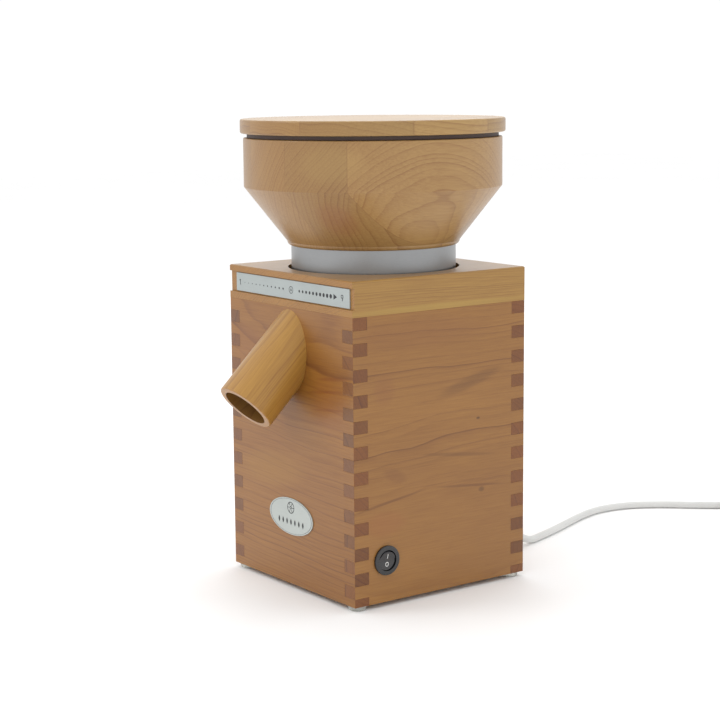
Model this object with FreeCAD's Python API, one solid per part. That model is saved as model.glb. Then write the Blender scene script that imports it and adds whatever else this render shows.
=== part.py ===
import FreeCAD
import Part
import math
import os
from FreeCAD import Vector

# Electric grain mill in a finger-jointed wooden housing, sizes in millimetres.
# The origin is the mill axis on the table, the spout points to -Y and the switch to +X.

# Housing
housing_width = 178.0
housing_depth = 178.0
axis_forward = 1.8
panel_height = 234.1
panel_thickness = 14.0
finger_pitch = 10.32
top_board_thickness = 28.4
top_board_edge = 0.8
corner_block_size = 14.0
corner_block_height = 16.0

# Feet
foot_height = 4.0
foot_radius = 8.0
foot_tip_radius = 6.8
foot_inset = 8.5

# Floor plate and its screws
floor_plate_thickness = 4.0
floor_plate_recess = 3.0
floor_plate_gap = 0.3
vent_length = 56.0
vent_width = 5.0
vent_pitch = 13.0
vent_count = 5
floor_screw_radius = 1.75
floor_screw_head_radius = 3.4
floor_screw_head_height = 1.8
floor_screw_length = 16.0
cross_length = 4.4
cross_width = 0.8
cross_depth = 0.8

# Scale plate in its groove
groove_below_top = 5.2
groove_height = 17.4
groove_depth = 2.0
scale_plate_length = 164.0
scale_plate_height = 15.3
scale_plate_thickness = 1.0
scale_plate_offset = 2.0

# Badge
badge_half_width = 31.8
badge_half_height = 15.5
badge_thickness = 0.8
badge_height = 62.4

# Spout
spout_radius = 25.0
spout_wall = 5.6
spout_angle = 44.0
spout_length = 61.0
spout_board_gap = 1.65
spout_edge = 1.2
spout_tenon_wall = 3.0
spout_tenon_length = 10.0
spout_fit = 0.1

# Grinding chamber
flange_gap = 0.7
flange_thickness = 6.0
flange_corner_radius = 10.0
collar_radius = 63.9
collar_bore_radius = 52.0
pot_radius = 56.0
pot_bore_radius = 50.0
pot_depth = 38.1
pot_floor_thickness = 7.0
outlet_width = 24.0
outlet_height = 18.0
outlet_wall = 2.5
outlet_gap = 0.3
chamber_bolt_inset = 9.5
chamber_bolt_radius = 3.0
chamber_bolt_grip = 16.0
chamber_bolt_head_radius = 5.0
chamber_bolt_head_height = 6.0
chamber_bolt_socket_radius = 2.9
chamber_bolt_socket_depth = 3.5
lug_count = 3
lug_phase = 30.0
lug_width = 8.0
lug_reach = 59.4
lug_thickness = 5.0
lug_slot_gap = 0.5
lug_slot_reach = 60.4
lug_slot_depth = 10.0
buffer_radius = 3.2
buffer_offset = 55.6
buffer_bore_radius = 1.0

# Stones and their carriers
stone_radius = 42.5
stone_thickness = 18.0
stone_gap = 0.2
stone_bevel = 2.0
lower_stone_bore_radius = 10.0
lower_stone_countersink = 2.0
upper_stone_bore_radius = 14.0
throat_radius = 24.0
throat_depth = 9.0
lower_carrier_radius = 44.0
lower_carrier_thickness = 5.0
lower_carrier_lift = 2.0
sweeper_reach = 49.0
sweeper_width = 4.0
sweeper_height = 8.0
sweeper_count = 2
sweeper_phase = 20.0
sweeper_overlap = 1.0
upper_carrier_radius = 49.6
upper_carrier_thickness = 8.8
upper_carrier_proud = 2.0
upper_carrier_bore_radius = 15.6
stone_screw_radius = 3.0
stone_screw_length = 14.0
stone_screw_head_radius = 5.0
stone_screw_head_height = 5.0
stone_washer_radius = 9.0
stone_washer_thickness = 1.6

# Adjusting ring
ring_radius = 69.25
ring_rise = 18.7
ring_hole_gap = 3.05
ring_flange_gap = 2.0
ring_thread_gap = 0.1
ring_web_gap = 0.1
ring_web_thickness = 6.0
ring_web_bore_radius = 36.0
ring_upper_bore_radius = 60.0
ring_screw_count = 4
ring_screw_offset = 50.0
ring_screw_radius = 2.0
ring_screw_head_radius = 4.0
ring_screw_length = 18.0
ring_screw_phase = 45.0
ring_screw_slot_length = 6.0
ring_screw_slot_width = 1.0
ring_screw_slot_depth = 1.0
index_notch_angle = 47.5
index_notch_width = 2.0
index_notch_height = 9.0
index_notch_depth = 1.6
index_notch_top = 13.0

# Hopper bowl, feed tube and lid
bowl_radius = 108.1
bowl_foot_radius = 72.6
bowl_foot_round = 3.5
bowl_cone_height = 45.5
bowl_wall_height = 40.4
bowl_wall_thickness = 7.0
bowl_rim_round = 1.0
bowl_spigot_gap = 0.1
funnel_shoulder_drop = 36.6
funnel_floor_height = 3.0
feed_tube_radius = 15.0
feed_tube_bore_radius = 13.0
feed_tube_stone_gap = 0.8
gasket_inset = 3.1
gasket_thickness = 3.6
gasket_rim_gap = 0.05
lid_overhang = 2.5
lid_thickness = 11.8
lid_edge_round = 1.6
lid_spigot_gap = 1.1
lid_spigot_depth = 4.6
lid_spigot_wall = 7.0

# Motor
shaft_radius = 7.5
shaft_tail = 22.0
motor_radius = 56.0
shield_bore_radius = 51.0
shield_roof_thickness = 6.0
upper_shield_height = 33.0
lower_shield_height = 34.0
stack_height = 60.0
stator_bore_radius = 30.4
stator_slot_count = 24
stator_slot_width = 3.6
stator_slot_radius = 45.0
rotor_air_gap = 0.4
rotor_end_ring = 2.0
winding_radius = 49.0
winding_bore_radius = 33.0
winding_height = 12.0
winding_inset = 0.5
bearing_radius = 17.5
bearing_width = 11.0
bearing_race = 3.0
bearing_groove = 1.0
bearing_fit = 0.06
bearing_boss_radius = 22.0
shield_window_width = 22.0
shield_window_height = 12.0
shield_window_count = 4
upper_window_rise = 6.0
lower_window_rise = 14.0
shield_vent_radius = 6.0
shield_vent_offset = 36.0
shield_vent_count = 8
tie_bolt_offset = 53.5
tie_bolt_radius = 1.6
tie_bolt_head_radius = 2.4
tie_bolt_head_height = 3.0
tie_bolt_grip = 6.0
tie_bolt_count = 4
tie_bolt_phase = 45.0
fan_radius = 44.0
fan_hub_radius = 12.0
fan_blade_count = 8
fan_blade_height = 10.0
fan_blade_thickness = 1.6
fan_disc_thickness = 2.0
fan_lift = 4.0
seal_radius = 13.0
seal_thickness = 4.0
seal_gap = 0.05
lip_bore_gap = 1.0
thermal_cutout_length = 22.0
thermal_cutout_width = 12.0
thermal_cutout_thickness = 7.0

# Capacitor and its clip
capacitor_radius = 16.0
capacitor_height = 72.0
capacitor_bottom = 70.0
capacitor_wall_gap = 2.0
capacitor_edge = 1.5
capacitor_tab_spacing = 12.0
capacitor_tab_width = 6.2
capacitor_tab_thickness = 0.8
capacitor_tab_length = 8.0
clip_thickness = 1.2
clip_height = 14.0
clip_ear = 9.0
clip_bridge = 4.0
clip_screw_radius = 1.5
clip_screw_length = 9.0
clip_screw_head_radius = 2.8
clip_screw_head_height = 1.6

# Terminal block
terminal_length = 42.0
terminal_height = 18.0
terminal_depth = 12.0
terminal_bottom = 34.0
terminal_count = 4
terminal_screw_radius = 2.0
terminal_screw_depth = 3.0
terminal_screw_sunk = 1.0

# Switch
switch_inset = 31.5
switch_height = 38.7
switch_bezel_radius = 12.2
switch_bezel_thickness = 2.0
switch_bezel_edge = 0.7
switch_barrel_radius = 9.9
switch_barrel_length = 21.0
switch_bore_radius = 8.6
switch_bore_depth = 8.0
switch_hole_gap = 0.1
switch_pocket_radius = 15.0
switch_web = 3.0
switch_nut_radius = 13.5
switch_nut_thickness = 4.0
rocker_radius = 8.45
rocker_tilt = 8.0
rocker_pivot_depth = 3.5
rocker_face_rise = 2.3
rocker_back = 4.0
rocker_pin_radius = 1.0
rocker_pin_reach = 9.5
rocker_pin_gap = 0.05
blade_width = 6.3
blade_thickness = 0.8
blade_length = 9.0
blade_spacing = 7.0

# Mains lead
cord_radius = 3.3
cord_clearance = 0.1
gland_side = 20.0
gland_height = 20.0
gland_hole_radius = 7.0
gland_fit = 0.1
gland_flange_radius = 9.5
gland_flange_thickness = 2.0
gland_tail = 3.0
boot_length = 28.0
boot_root_radius = 6.2
boot_tip_radius = 4.4
coil_turn_radius = 36.0
coil_columns = 2
coil_layers = 3
coil_centre_x = 89.4
coil_centre_y = 413.0
tie_width = 12.0
tie_thickness = 0.8
tie_squeeze = 0.6
tie_angle = 300.0
plug_radius = 18.5
plug_length = 34.0
plug_front_round = 3.0
plug_neck_radius = 7.5
plug_neck_tip_radius = 4.4
plug_neck_length = 25.0
plug_neck_overlap = 2.0
plug_pin_radius = 2.4
plug_pin_length = 19.0
plug_pin_spacing = 19.0
plug_pin_round = 1.2
plug_slot_width = 7.0
plug_slot_depth = 2.5
plug_slot_stop = 10.0

# Heights and faces that follow from the sizes
x_right = housing_width / 2
x_inner = x_right - panel_thickness
y_front = axis_forward - housing_depth / 2
y_back = axis_forward + housing_depth / 2
y_front_inner = y_front + panel_thickness
y_back_inner = y_back - panel_thickness
y_switch = y_front + switch_inset
z_bottom = foot_height
z_board = z_bottom + panel_height
z_top = z_board + top_board_thickness
z_pot_floor = z_board - pot_depth
z_motor = z_pot_floor - pot_floor_thickness
z_lower_carrier = z_pot_floor + lower_carrier_lift
z_lower_stone = z_lower_carrier + lower_carrier_thickness
z_grind = z_lower_stone + stone_thickness
z_upper_stone = z_grind + stone_gap
z_upper_carrier = z_upper_stone + stone_thickness
z_carrier_top = z_upper_carrier + upper_carrier_thickness
z_collar = z_carrier_top - upper_carrier_proud
z_web = z_carrier_top + ring_web_gap
z_web_top = z_web + ring_web_thickness
z_ring_bottom = z_board + ring_flange_gap
z_ring_top = z_top + ring_rise
z_cone = z_ring_top + bowl_foot_round
z_bowl_corner = z_cone + bowl_cone_height
z_rim = z_bowl_corner + bowl_wall_height
z_lid = z_rim + gasket_rim_gap + gasket_thickness
z_stack_top = z_motor - upper_shield_height
z_stack_bottom = z_stack_top - stack_height
z_shield_bottom = z_stack_bottom - lower_shield_height
z_shaft_bottom = z_shield_bottom - shaft_tail
bowl_bore_radius = bowl_radius - bowl_wall_thickness
gasket_radius = bowl_radius - gasket_inset
lid_radius = bowl_radius + lid_overhang
lid_spigot_radius = bowl_bore_radius - lid_spigot_gap
board_hole_radius = ring_radius + ring_hole_gap
rocker_pivot_x = x_right + switch_bezel_thickness - rocker_pivot_depth

os.makedirs("parts", exist_ok=True)
UP = Vector(0, 0, 1)


def export(name, shape):
    shape.exportStep("parts/" + name + ".step")


def disc(radius, low, high, x=0.0, y=0.0):
    return Part.makeCylinder(radius, high - low, Vector(x, y, low))


def sleeve(outer, inner, low, high, x=0.0, y=0.0):
    return disc(outer, low, high, x, y).cut(disc(inner, low - 1, high + 1, x, y))


def block(x0, x1, y0, y1, z0, z1):
    return Part.makeBox(x1 - x0, y1 - y0, z1 - z0, Vector(x0, y0, z0))


def turned(outline):
    # A closed outline of (radius, height) points, turned about the mill axis
    points = [Vector(r, 0, z) for r, z in outline]
    face = Part.Face(Part.makePolygon(points + points[:1]))
    return face.revolve(Vector(0, 0, 0), UP, 360)


def rod(radius, start, direction, length):
    return Part.makeCylinder(radius, length, Vector(*start), Vector(*direction))


def around(shape, count, phase=0.0):
    # Copies of a shape at equal angles about the mill axis
    copies = []
    for step in range(count):
        copy = shape.copy()
        copy.rotate(Vector(0, 0, 0), UP, phase + 360.0 * step / count)
        copies.append(copy)
    return copies


def mirrored_corners(x, y_low, y_high):
    return [(sx * x, y) for sx in (-1, 1) for y in (y_low, y_high)]


def edges_at_height(shape, height, tolerance=0.01):
    found = []
    for edge in shape.Edges:
        box = edge.BoundBox
        if abs(box.ZMin - height) < tolerance and abs(box.ZMax - height) < tolerance:
            found.append(edge)
    return found


# Housing panels with finger joints
def finger_bands(first):
    # Heights of every second finger, counted down from the top board
    bands = []
    top = z_board - first * finger_pitch
    while top > z_bottom + 0.001:
        bands.append((max(top - finger_pitch, z_bottom), top))
        top -= 2 * finger_pitch
    return bands


def front_or_back(y0, y1):
    panel = block(-x_right, x_right, y0, y1, z_bottom, z_board)
    for low, high in finger_bands(1):
        for side in (-x_right, x_inner):
            panel = panel.cut(block(side, side + panel_thickness, y0, y1, low, high))
    return panel


def side_panel(x0, x1):
    panel = block(x0, x1, y_front, y_back, z_bottom, z_board)
    for low, high in finger_bands(0):
        for y0 in (y_front, y_back_inner):
            panel = panel.cut(block(x0, x1, y0, y0 + panel_thickness, low, high))
    return panel


def ellipse_rod(half_width, half_height, y0, y1, height):
    # The ellipse is wide along X or tall along Z, whichever half size is larger
    if half_width >= half_height:
        first, second = Vector(half_width, 0, 0), Vector(0, 0, half_height)
    else:
        first, second = Vector(0, 0, half_height), Vector(half_width, 0, 0)
    centre = Vector(0, y0, height)
    curve = Part.Ellipse(centre + first, centre + second, centre)
    face = Part.Face(Part.Wire(curve.toShape()))
    return face.extrude(Vector(0, y1 - y0, 0))


# The oblique cut turns the spout's round section into an upright ellipse on the front face
spout_slope = math.cos(math.radians(spout_angle))
spout_entry_height = z_board - spout_board_gap - spout_radius / spout_slope
bore_half_width = spout_radius - spout_wall
bore_half_height = bore_half_width / spout_slope
tenon_half_width = bore_half_width + spout_tenon_wall
tenon_half_height = bore_half_height + spout_tenon_wall


def make_front_panel():
    panel = front_or_back(y_front, y_front_inner)
    hole = ellipse_rod(
        tenon_half_width + spout_fit, tenon_half_height + spout_fit,
        y_front - 1, y_front_inner + 1, spout_entry_height,
    )
    return panel.cut(hole)


def make_back_panel():
    panel = front_or_back(y_back_inner, y_back)
    start = (gland_side, y_back_inner - 1, gland_height)
    return panel.cut(rod(gland_hole_radius, start, (0, 1, 0), panel_thickness + 2))


def make_right_panel():
    panel = side_panel(x_inner, x_right)
    start = (x_inner - 1, y_switch, switch_height)
    panel = panel.cut(rod(switch_barrel_radius + switch_hole_gap, start, (1, 0, 0), panel_thickness + 2))
    return panel.cut(rod(switch_pocket_radius, start, (1, 0, 0), panel_thickness + 1 - switch_web))


def make_top_board():
    board = block(-x_right, x_right, y_front, y_back, z_board, z_top)
    board = board.makeChamfer(top_board_edge, edges_at_height(board, z_top))
    board = board.cut(disc(board_hole_radius, z_board - 1, z_top + 1))
    groove_top = z_top - groove_below_top
    groove = block(
        -x_right - 1, x_right + 1, y_front - 1, y_front + groove_depth, groove_top - groove_height, groove_top
    )
    board = board.cut(groove)
    for x, y in bolt_places:
        board = board.cut(disc(chamber_bolt_radius, z_board - 1, z_board + chamber_bolt_grip, x, y))
    return board


def make_scale_plate():
    middle = z_top - groove_below_top - groove_height / 2
    x0 = scale_plate_offset - scale_plate_length / 2
    face = y_front + groove_depth - scale_plate_thickness
    return block(
        x0, x0 + scale_plate_length, face, face + scale_plate_thickness,
        middle - scale_plate_height / 2, middle + scale_plate_height / 2,
    )


def make_badge():
    return ellipse_rod(badge_half_width, badge_half_height, y_front - badge_thickness, y_front, badge_height)


def make_spout():
    angle = math.radians(spout_angle)
    along = Vector(0, -math.cos(angle), -math.sin(angle))
    entry = Vector(0, y_front, spout_entry_height)
    back = 2 * spout_radius
    tube = Part.makeCylinder(spout_radius, spout_length + back, entry - along * back, along)
    rims = [e for e in tube.Edges if (e.CenterOfMass - (entry + along * spout_length)).Length < 0.1]
    outside = block(-x_right, x_right, y_front - 2 * spout_length, y_front, 0, z_top)
    tube = tube.makeFillet(spout_edge, rims).common(outside)
    tenon = ellipse_rod(
        tenon_half_width, tenon_half_height, y_front, y_front + spout_tenon_length, spout_entry_height
    )
    # The bore runs past both ends of the tube, but only outside the panel
    bore = Part.makeCylinder(bore_half_width, spout_length + 2 * back, entry - along * back, along)
    bore = bore.common(outside)
    through = ellipse_rod(
        bore_half_width, bore_half_height, y_front, y_front + spout_tenon_length + 1, spout_entry_height
    )
    return tube.fuse(tenon).cut(bore).cut(through)


def make_corner_blocks():
    low = z_bottom + floor_plate_recess + floor_plate_thickness
    blocks = []
    for sx in (-1, 1):
        x0 = -x_inner if sx < 0 else x_inner - corner_block_size
        for y0 in (y_front_inner, y_back_inner - corner_block_size):
            x1, y1 = x0 + corner_block_size, y0 + corner_block_size
            piece = block(x0, x1, y0, y1, low, low + corner_block_height)
            x, y = (x0 + x1) / 2, (y0 + y1) / 2
            blocks.append(piece.cut(disc(floor_screw_radius, low - 1, low + floor_screw_reach, x, y)))
    return Part.makeCompound(blocks)


floor_screw_reach = floor_screw_length - floor_plate_thickness


def floor_screw_places():
    middle = corner_block_size / 2
    return mirrored_corners(x_inner - middle, y_front_inner + middle, y_back_inner - middle)


def make_floor_plate():
    low = z_bottom + floor_plate_recess
    high = low + floor_plate_thickness
    gap = floor_plate_gap
    plate = block(-x_inner + gap, x_inner - gap, y_front_inner + gap, y_back_inner - gap, low, high)
    for step in range(vent_count):
        y = axis_forward + (step - (vent_count - 1) / 2) * vent_pitch
        y0, y1 = y - vent_width / 2, y + vent_width / 2
        plate = plate.cut(block(-vent_length / 2, vent_length / 2, y0, y1, low, high))
    for x, y in floor_screw_places():
        plate = plate.cut(disc(floor_screw_radius, low - 1, high + 1, x, y))
        plate = plate.cut(disc(floor_screw_head_radius, low - 1, low + floor_screw_head_height, x, y))
    return plate


def make_floor_screws():
    low = z_bottom + floor_plate_recess
    reach, half = cross_length / 2, cross_width / 2
    screws = []
    for x, y in floor_screw_places():
        head = disc(floor_screw_head_radius, low, low + floor_screw_head_height, x, y)
        shank = disc(floor_screw_radius, low, low + floor_screw_length, x, y)
        screw = head.fuse(shank)
        slot = block(x - reach, x + reach, y - half, y + half, low - 1, low + cross_depth)
        cross = block(x - half, x + half, y - reach, y + reach, low - 1, low + cross_depth)
        screws.append(screw.cut(slot).cut(cross))
    return Part.makeCompound(screws)


def make_feet():
    feet = []
    for x, y in mirrored_corners(x_right - foot_inset, y_front + foot_inset, y_back - foot_inset):
        foot = Part.makeCone(foot_tip_radius, foot_radius, foot_height, Vector(x, y, 0))
        feet.append(foot)
    return Part.makeCompound(feet)


# Grinding chamber
flange_front = y_front_inner + flange_gap
flange_back = y_back_inner - flange_gap
flange_side = x_inner - flange_gap
bolt_places = mirrored_corners(
    flange_side - chamber_bolt_inset, flange_front + chamber_bolt_inset, flange_back - chamber_bolt_inset
)


def make_chamber():
    flange = block(-flange_side, flange_side, flange_front, flange_back, z_board - flange_thickness, z_board)
    upright = [e for e in flange.Edges if abs(e.BoundBox.ZLength - flange_thickness) < 0.01]
    flange = flange.makeFillet(flange_corner_radius, upright)
    body = flange.fuse(disc(pot_radius, z_motor, z_board)).fuse(disc(collar_radius, z_board, z_collar))
    reach = y_front_inner + outlet_gap
    wall = outlet_wall
    duct = block(
        -outlet_width / 2 - wall, outlet_width / 2 + wall, reach, -pot_bore_radius,
        z_pot_floor - wall, z_pot_floor + outlet_height + wall,
    )
    body = body.fuse(duct)
    body = body.cut(disc(pot_bore_radius, z_pot_floor, z_board + 1))
    body = body.cut(disc(collar_bore_radius, z_board, z_collar + 1))
    body = body.cut(
        block(
            -outlet_width / 2, outlet_width / 2, reach - 1, -pot_bore_radius + 6,
            z_pot_floor, z_pot_floor + outlet_height,
        )
    )
    body = body.cut(disc(shaft_radius + lip_bore_gap, z_motor - 1, z_board))
    body = body.cut(disc(seal_radius, z_pot_floor - seal_thickness, z_pot_floor + 1))
    slot_half = lug_width / 2 + lug_slot_gap
    slot_low = z_collar - lug_slot_depth
    slot = block(pot_bore_radius - 2, lug_slot_reach, -slot_half, slot_half, slot_low, z_collar + 1)
    for cutter in around(slot, lug_count, lug_phase):
        body = body.cut(cutter)
    for x, y in bolt_places:
        body = body.cut(disc(chamber_bolt_radius, z_board - flange_thickness - 1, z_board + 1, x, y))
    tie = disc(tie_bolt_radius, z_motor - 1, z_motor + tie_bolt_grip, tie_bolt_offset, 0)
    for cutter in around(tie, tie_bolt_count, tie_bolt_phase):
        body = body.cut(cutter)
    return body.removeSplitter()


def make_chamber_bolts():
    bolts = []
    low = z_board - flange_thickness
    for x, y in bolt_places:
        shank = disc(chamber_bolt_radius, low - 0.5, z_board + chamber_bolt_grip - 1, x, y)
        head = disc(chamber_bolt_head_radius, low - chamber_bolt_head_height, low, x, y)
        corner = Vector(chamber_bolt_socket_radius, 0, 0)
        corners = [FreeCAD.Rotation(UP, a).multVec(corner) for a in range(0, 361, 60)]
        recess = Part.Face(Part.makePolygon(corners)).extrude(UP * (chamber_bolt_socket_depth + 1))
        recess.translate(Vector(x, y, low - chamber_bolt_head_height - 1))
        bolts.append(head.fuse(shank).cut(recess))
    return Part.makeCompound(bolts)


def make_shaft_seal():
    return sleeve(seal_radius, shaft_radius + seal_gap, z_pot_floor - seal_thickness, z_pot_floor)


def make_lug_buffers():
    low = z_collar - lug_slot_depth
    high = z_carrier_top - lug_thickness
    pad = sleeve(buffer_radius, buffer_bore_radius, low, high - 0.05, buffer_offset, 0)
    return Part.makeCompound(around(pad, lug_count, lug_phase))


# Stones
def make_lower_stone():
    r, b = stone_radius, lower_stone_bore_radius
    top = z_grind
    return turned(
        [
            (b, z_lower_stone), (r, z_lower_stone), (r, top - stone_bevel), (r - stone_bevel, top),
            (throat_radius, top), (b + lower_stone_countersink, top - throat_depth / 2),
            (b, top - throat_depth / 2),
        ]
    )


def make_upper_stone():
    r, b = stone_radius, upper_stone_bore_radius
    low = z_upper_stone
    return turned(
        [
            (b, low + throat_depth), (throat_radius, low), (r - stone_bevel, low), (r, low + stone_bevel),
            (r, z_upper_carrier), (b, z_upper_carrier),
        ]
    )


def make_lower_carrier():
    plate = sleeve(lower_carrier_radius, stone_screw_radius, z_lower_carrier, z_lower_stone)
    half = sweeper_width / 2
    blade = block(
        lower_carrier_radius - sweeper_overlap, sweeper_reach, -half, half,
        z_lower_carrier - sweeper_overlap, z_lower_carrier - sweeper_overlap + sweeper_height,
    )
    inner_clear = disc(stone_radius, z_lower_stone, z_lower_stone + sweeper_height)
    for copy in around(blade, sweeper_count, sweeper_phase):
        plate = plate.fuse(copy.cut(inner_clear))
    return plate.removeSplitter()


def make_stone_screw():
    low = z_lower_stone + stone_washer_thickness
    head = disc(stone_screw_head_radius, low, low + stone_screw_head_height)
    shank = disc(stone_screw_radius, z_lower_stone - stone_screw_length, low)
    return head.fuse(shank)


def make_stone_washer():
    high = z_lower_stone + stone_washer_thickness
    return sleeve(stone_washer_radius, stone_screw_radius, z_lower_stone, high)


def make_upper_carrier():
    body = sleeve(upper_carrier_radius, upper_carrier_bore_radius, z_upper_carrier, z_carrier_top)
    half = lug_width / 2
    low = z_carrier_top - lug_thickness
    lug = block(upper_carrier_radius - 2, lug_reach, -half, half, low, z_carrier_top)
    for copy in around(lug, lug_count, lug_phase):
        body = body.fuse(copy)
    return body.removeSplitter()


# Adjusting ring and hopper
ring_screw_low = z_web


def ring_screw_places():
    places = []
    for step in range(ring_screw_count):
        turn = math.radians(ring_screw_phase + 360.0 * step / ring_screw_count)
        places.append((ring_screw_offset * math.cos(turn), ring_screw_offset * math.sin(turn)))
    return places


def screw_head(x, y):
    height = ring_screw_head_radius - ring_screw_radius
    return Part.makeCone(ring_screw_head_radius, ring_screw_radius, height, Vector(x, y, ring_screw_low))


def make_ring():
    thread_bore = collar_radius + ring_thread_gap
    ring = turned(
        [
            (thread_bore, z_ring_bottom), (ring_radius, z_ring_bottom), (ring_radius, z_ring_top),
            (ring_upper_bore_radius, z_ring_top), (ring_upper_bore_radius, z_web_top),
            (ring_web_bore_radius, z_web_top), (ring_web_bore_radius, z_web), (thread_bore, z_web),
        ]
    )
    half = index_notch_width / 2
    top = z_top + index_notch_top
    low = top - index_notch_height
    notch = block(ring_radius - index_notch_depth, ring_radius + 1, -half, half, low, top)
    notch.rotate(Vector(0, 0, 0), UP, index_notch_angle)
    ring = ring.cut(notch)
    for x, y in ring_screw_places():
        ring = ring.cut(disc(ring_screw_radius, z_web - 1, z_web_top + 1, x, y))
        ring = ring.cut(screw_head(x, y))
    return ring


def make_ring_screws():
    screws = []
    reach, half = ring_screw_slot_length / 2, ring_screw_slot_width / 2
    for x, y in ring_screw_places():
        shank = disc(ring_screw_radius, z_web, z_web + ring_screw_length, x, y)
        slot = block(x - reach, x + reach, y - half, y + half, z_web - 1, z_web + ring_screw_slot_depth)
        screws.append(shank.fuse(screw_head(x, y)).cut(slot))
    return Part.makeCompound(screws)


def make_bowl():
    spigot = ring_upper_bore_radius - bowl_spigot_gap
    bend = bowl_foot_round * (1 - math.sqrt(0.5))
    shoulder = z_rim - funnel_shoulder_drop
    floor = z_ring_top + funnel_floor_height
    rim = bowl_rim_round
    bowl = turned(
        [
            (feed_tube_radius, z_web_top), (spigot, z_web_top), (spigot, z_ring_top),
            (bowl_foot_radius - bowl_foot_round, z_ring_top), (bowl_foot_radius - bend, z_ring_top + bend),
            (bowl_foot_radius, z_cone), (bowl_radius, z_bowl_corner),
            (bowl_radius, z_rim - rim), (bowl_radius - rim, z_rim), (bowl_bore_radius, z_rim),
            (bowl_bore_radius, shoulder), (feed_tube_radius, floor),
        ]
    )
    for x, y in ring_screw_places():
        bowl = bowl.cut(disc(ring_screw_radius, z_web_top - 1, z_web + ring_screw_length + 1, x, y))
    return bowl


def make_feed_tube():
    low = z_upper_carrier + feed_tube_stone_gap
    return sleeve(feed_tube_radius, feed_tube_bore_radius, low, z_ring_top + funnel_floor_height)


def make_gasket():
    return sleeve(gasket_radius, lid_spigot_radius, z_lid - gasket_thickness, z_lid)


def make_lid():
    r, e = lid_radius, lid_edge_round
    top = z_lid + lid_thickness
    low = z_lid - gasket_thickness - lid_spigot_depth
    inner = lid_spigot_radius - lid_spigot_wall
    outline = [
        Vector(0, 0, z_lid), Vector(inner, 0, z_lid), Vector(inner, 0, low),
        Vector(lid_spigot_radius, 0, low), Vector(lid_spigot_radius, 0, z_lid), Vector(r - e, 0, z_lid),
    ]
    lines = [Part.makeLine(a, b) for a, b in zip(outline[:-1], outline[1:])]
    bend = e * (1 - math.sqrt(0.5))
    low_round = Part.Arc(Vector(r - e, 0, z_lid), Vector(r - bend, 0, z_lid + bend), Vector(r, 0, z_lid + e))
    top_round = Part.Arc(Vector(r, 0, top - e), Vector(r - bend, 0, top - bend), Vector(r - e, 0, top))
    side = Part.makeLine(Vector(r, 0, z_lid + e), Vector(r, 0, top - e))
    lines += [low_round.toShape(), side, top_round.toShape()]
    lines.append(Part.makeLine(Vector(r - e, 0, top), Vector(0, 0, top)))
    lines.append(Part.makeLine(Vector(0, 0, top), outline[0]))
    return Part.Face(Part.Wire(lines)).revolve(Vector(0, 0, 0), UP, 360)


# Motor
def bearing(low):
    ring = sleeve(bearing_radius, shaft_radius + bearing_fit, low, low + bearing_width)
    inner = shaft_radius + bearing_race
    outer = bearing_radius - bearing_race
    groove = sleeve(outer, inner, low + bearing_width - bearing_groove, low + bearing_width + 1)
    lower_groove = sleeve(outer, inner, low - 1, low + bearing_groove)
    return ring.cut(groove).cut(lower_groove)


z_upper_bearing = z_motor - shield_roof_thickness - bearing_width
z_lower_bearing = z_shield_bottom + shield_roof_thickness


def tie_holes(shape, low, high):
    hole = disc(tie_bolt_radius, low, high, tie_bolt_offset, 0)
    for cutter in around(hole, tie_bolt_count, tie_bolt_phase):
        shape = shape.cut(cutter)
    return shape


def windows(shape, low):
    half = shield_window_width / 2
    window = block(shield_bore_radius - 5, motor_radius + 1, -half, half, low, low + shield_window_height)
    for cutter in around(window, shield_window_count):
        shape = shape.cut(cutter)
    return shape


def make_upper_shield():
    shield = sleeve(motor_radius, shield_bore_radius, z_stack_top, z_motor)
    roof = disc(motor_radius, z_motor - shield_roof_thickness, z_motor)
    boss = disc(bearing_boss_radius, z_upper_bearing, z_motor)
    shield = shield.fuse(roof).fuse(boss)
    shield = shield.cut(disc(bearing_radius, z_upper_bearing - 1, z_upper_bearing + bearing_width))
    shield = shield.cut(disc(shaft_radius + lip_bore_gap, z_upper_bearing, z_motor + 1))
    shield = windows(shield, z_stack_top + upper_window_rise)
    return tie_holes(shield, z_stack_top - 1, z_motor + 1)


def make_lower_shield():
    shield = sleeve(motor_radius, shield_bore_radius, z_shield_bottom, z_stack_bottom)
    floor = disc(motor_radius, z_shield_bottom, z_shield_bottom + shield_roof_thickness)
    boss = disc(bearing_boss_radius, z_shield_bottom, z_lower_bearing + bearing_width)
    shield = shield.fuse(floor).fuse(boss)
    shield = shield.cut(disc(bearing_radius, z_lower_bearing, z_lower_bearing + bearing_width + 1))
    shield = shield.cut(disc(shaft_radius + lip_bore_gap, z_shield_bottom - 1, z_stack_bottom))
    vent = disc(shield_vent_radius, z_shield_bottom - 1, z_lower_bearing + 1, shield_vent_offset, 0)
    for cutter in around(vent, shield_vent_count, 180.0 / shield_vent_count):
        shield = shield.cut(cutter)
    shield = windows(shield, z_shield_bottom + lower_window_rise)
    return tie_holes(shield, z_shield_bottom - 1, z_stack_bottom + 1)


def make_stator():
    stack = sleeve(motor_radius, stator_bore_radius, z_stack_bottom, z_stack_top)
    half = stator_slot_width / 2
    slot = block(stator_bore_radius - 1, stator_slot_radius, -half, half, z_stack_bottom - 1, z_stack_top + 1)
    stack = stack.cut(Part.makeCompound(around(slot, stator_slot_count)))
    return tie_holes(stack, z_stack_bottom - 1, z_stack_top + 1)


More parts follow.
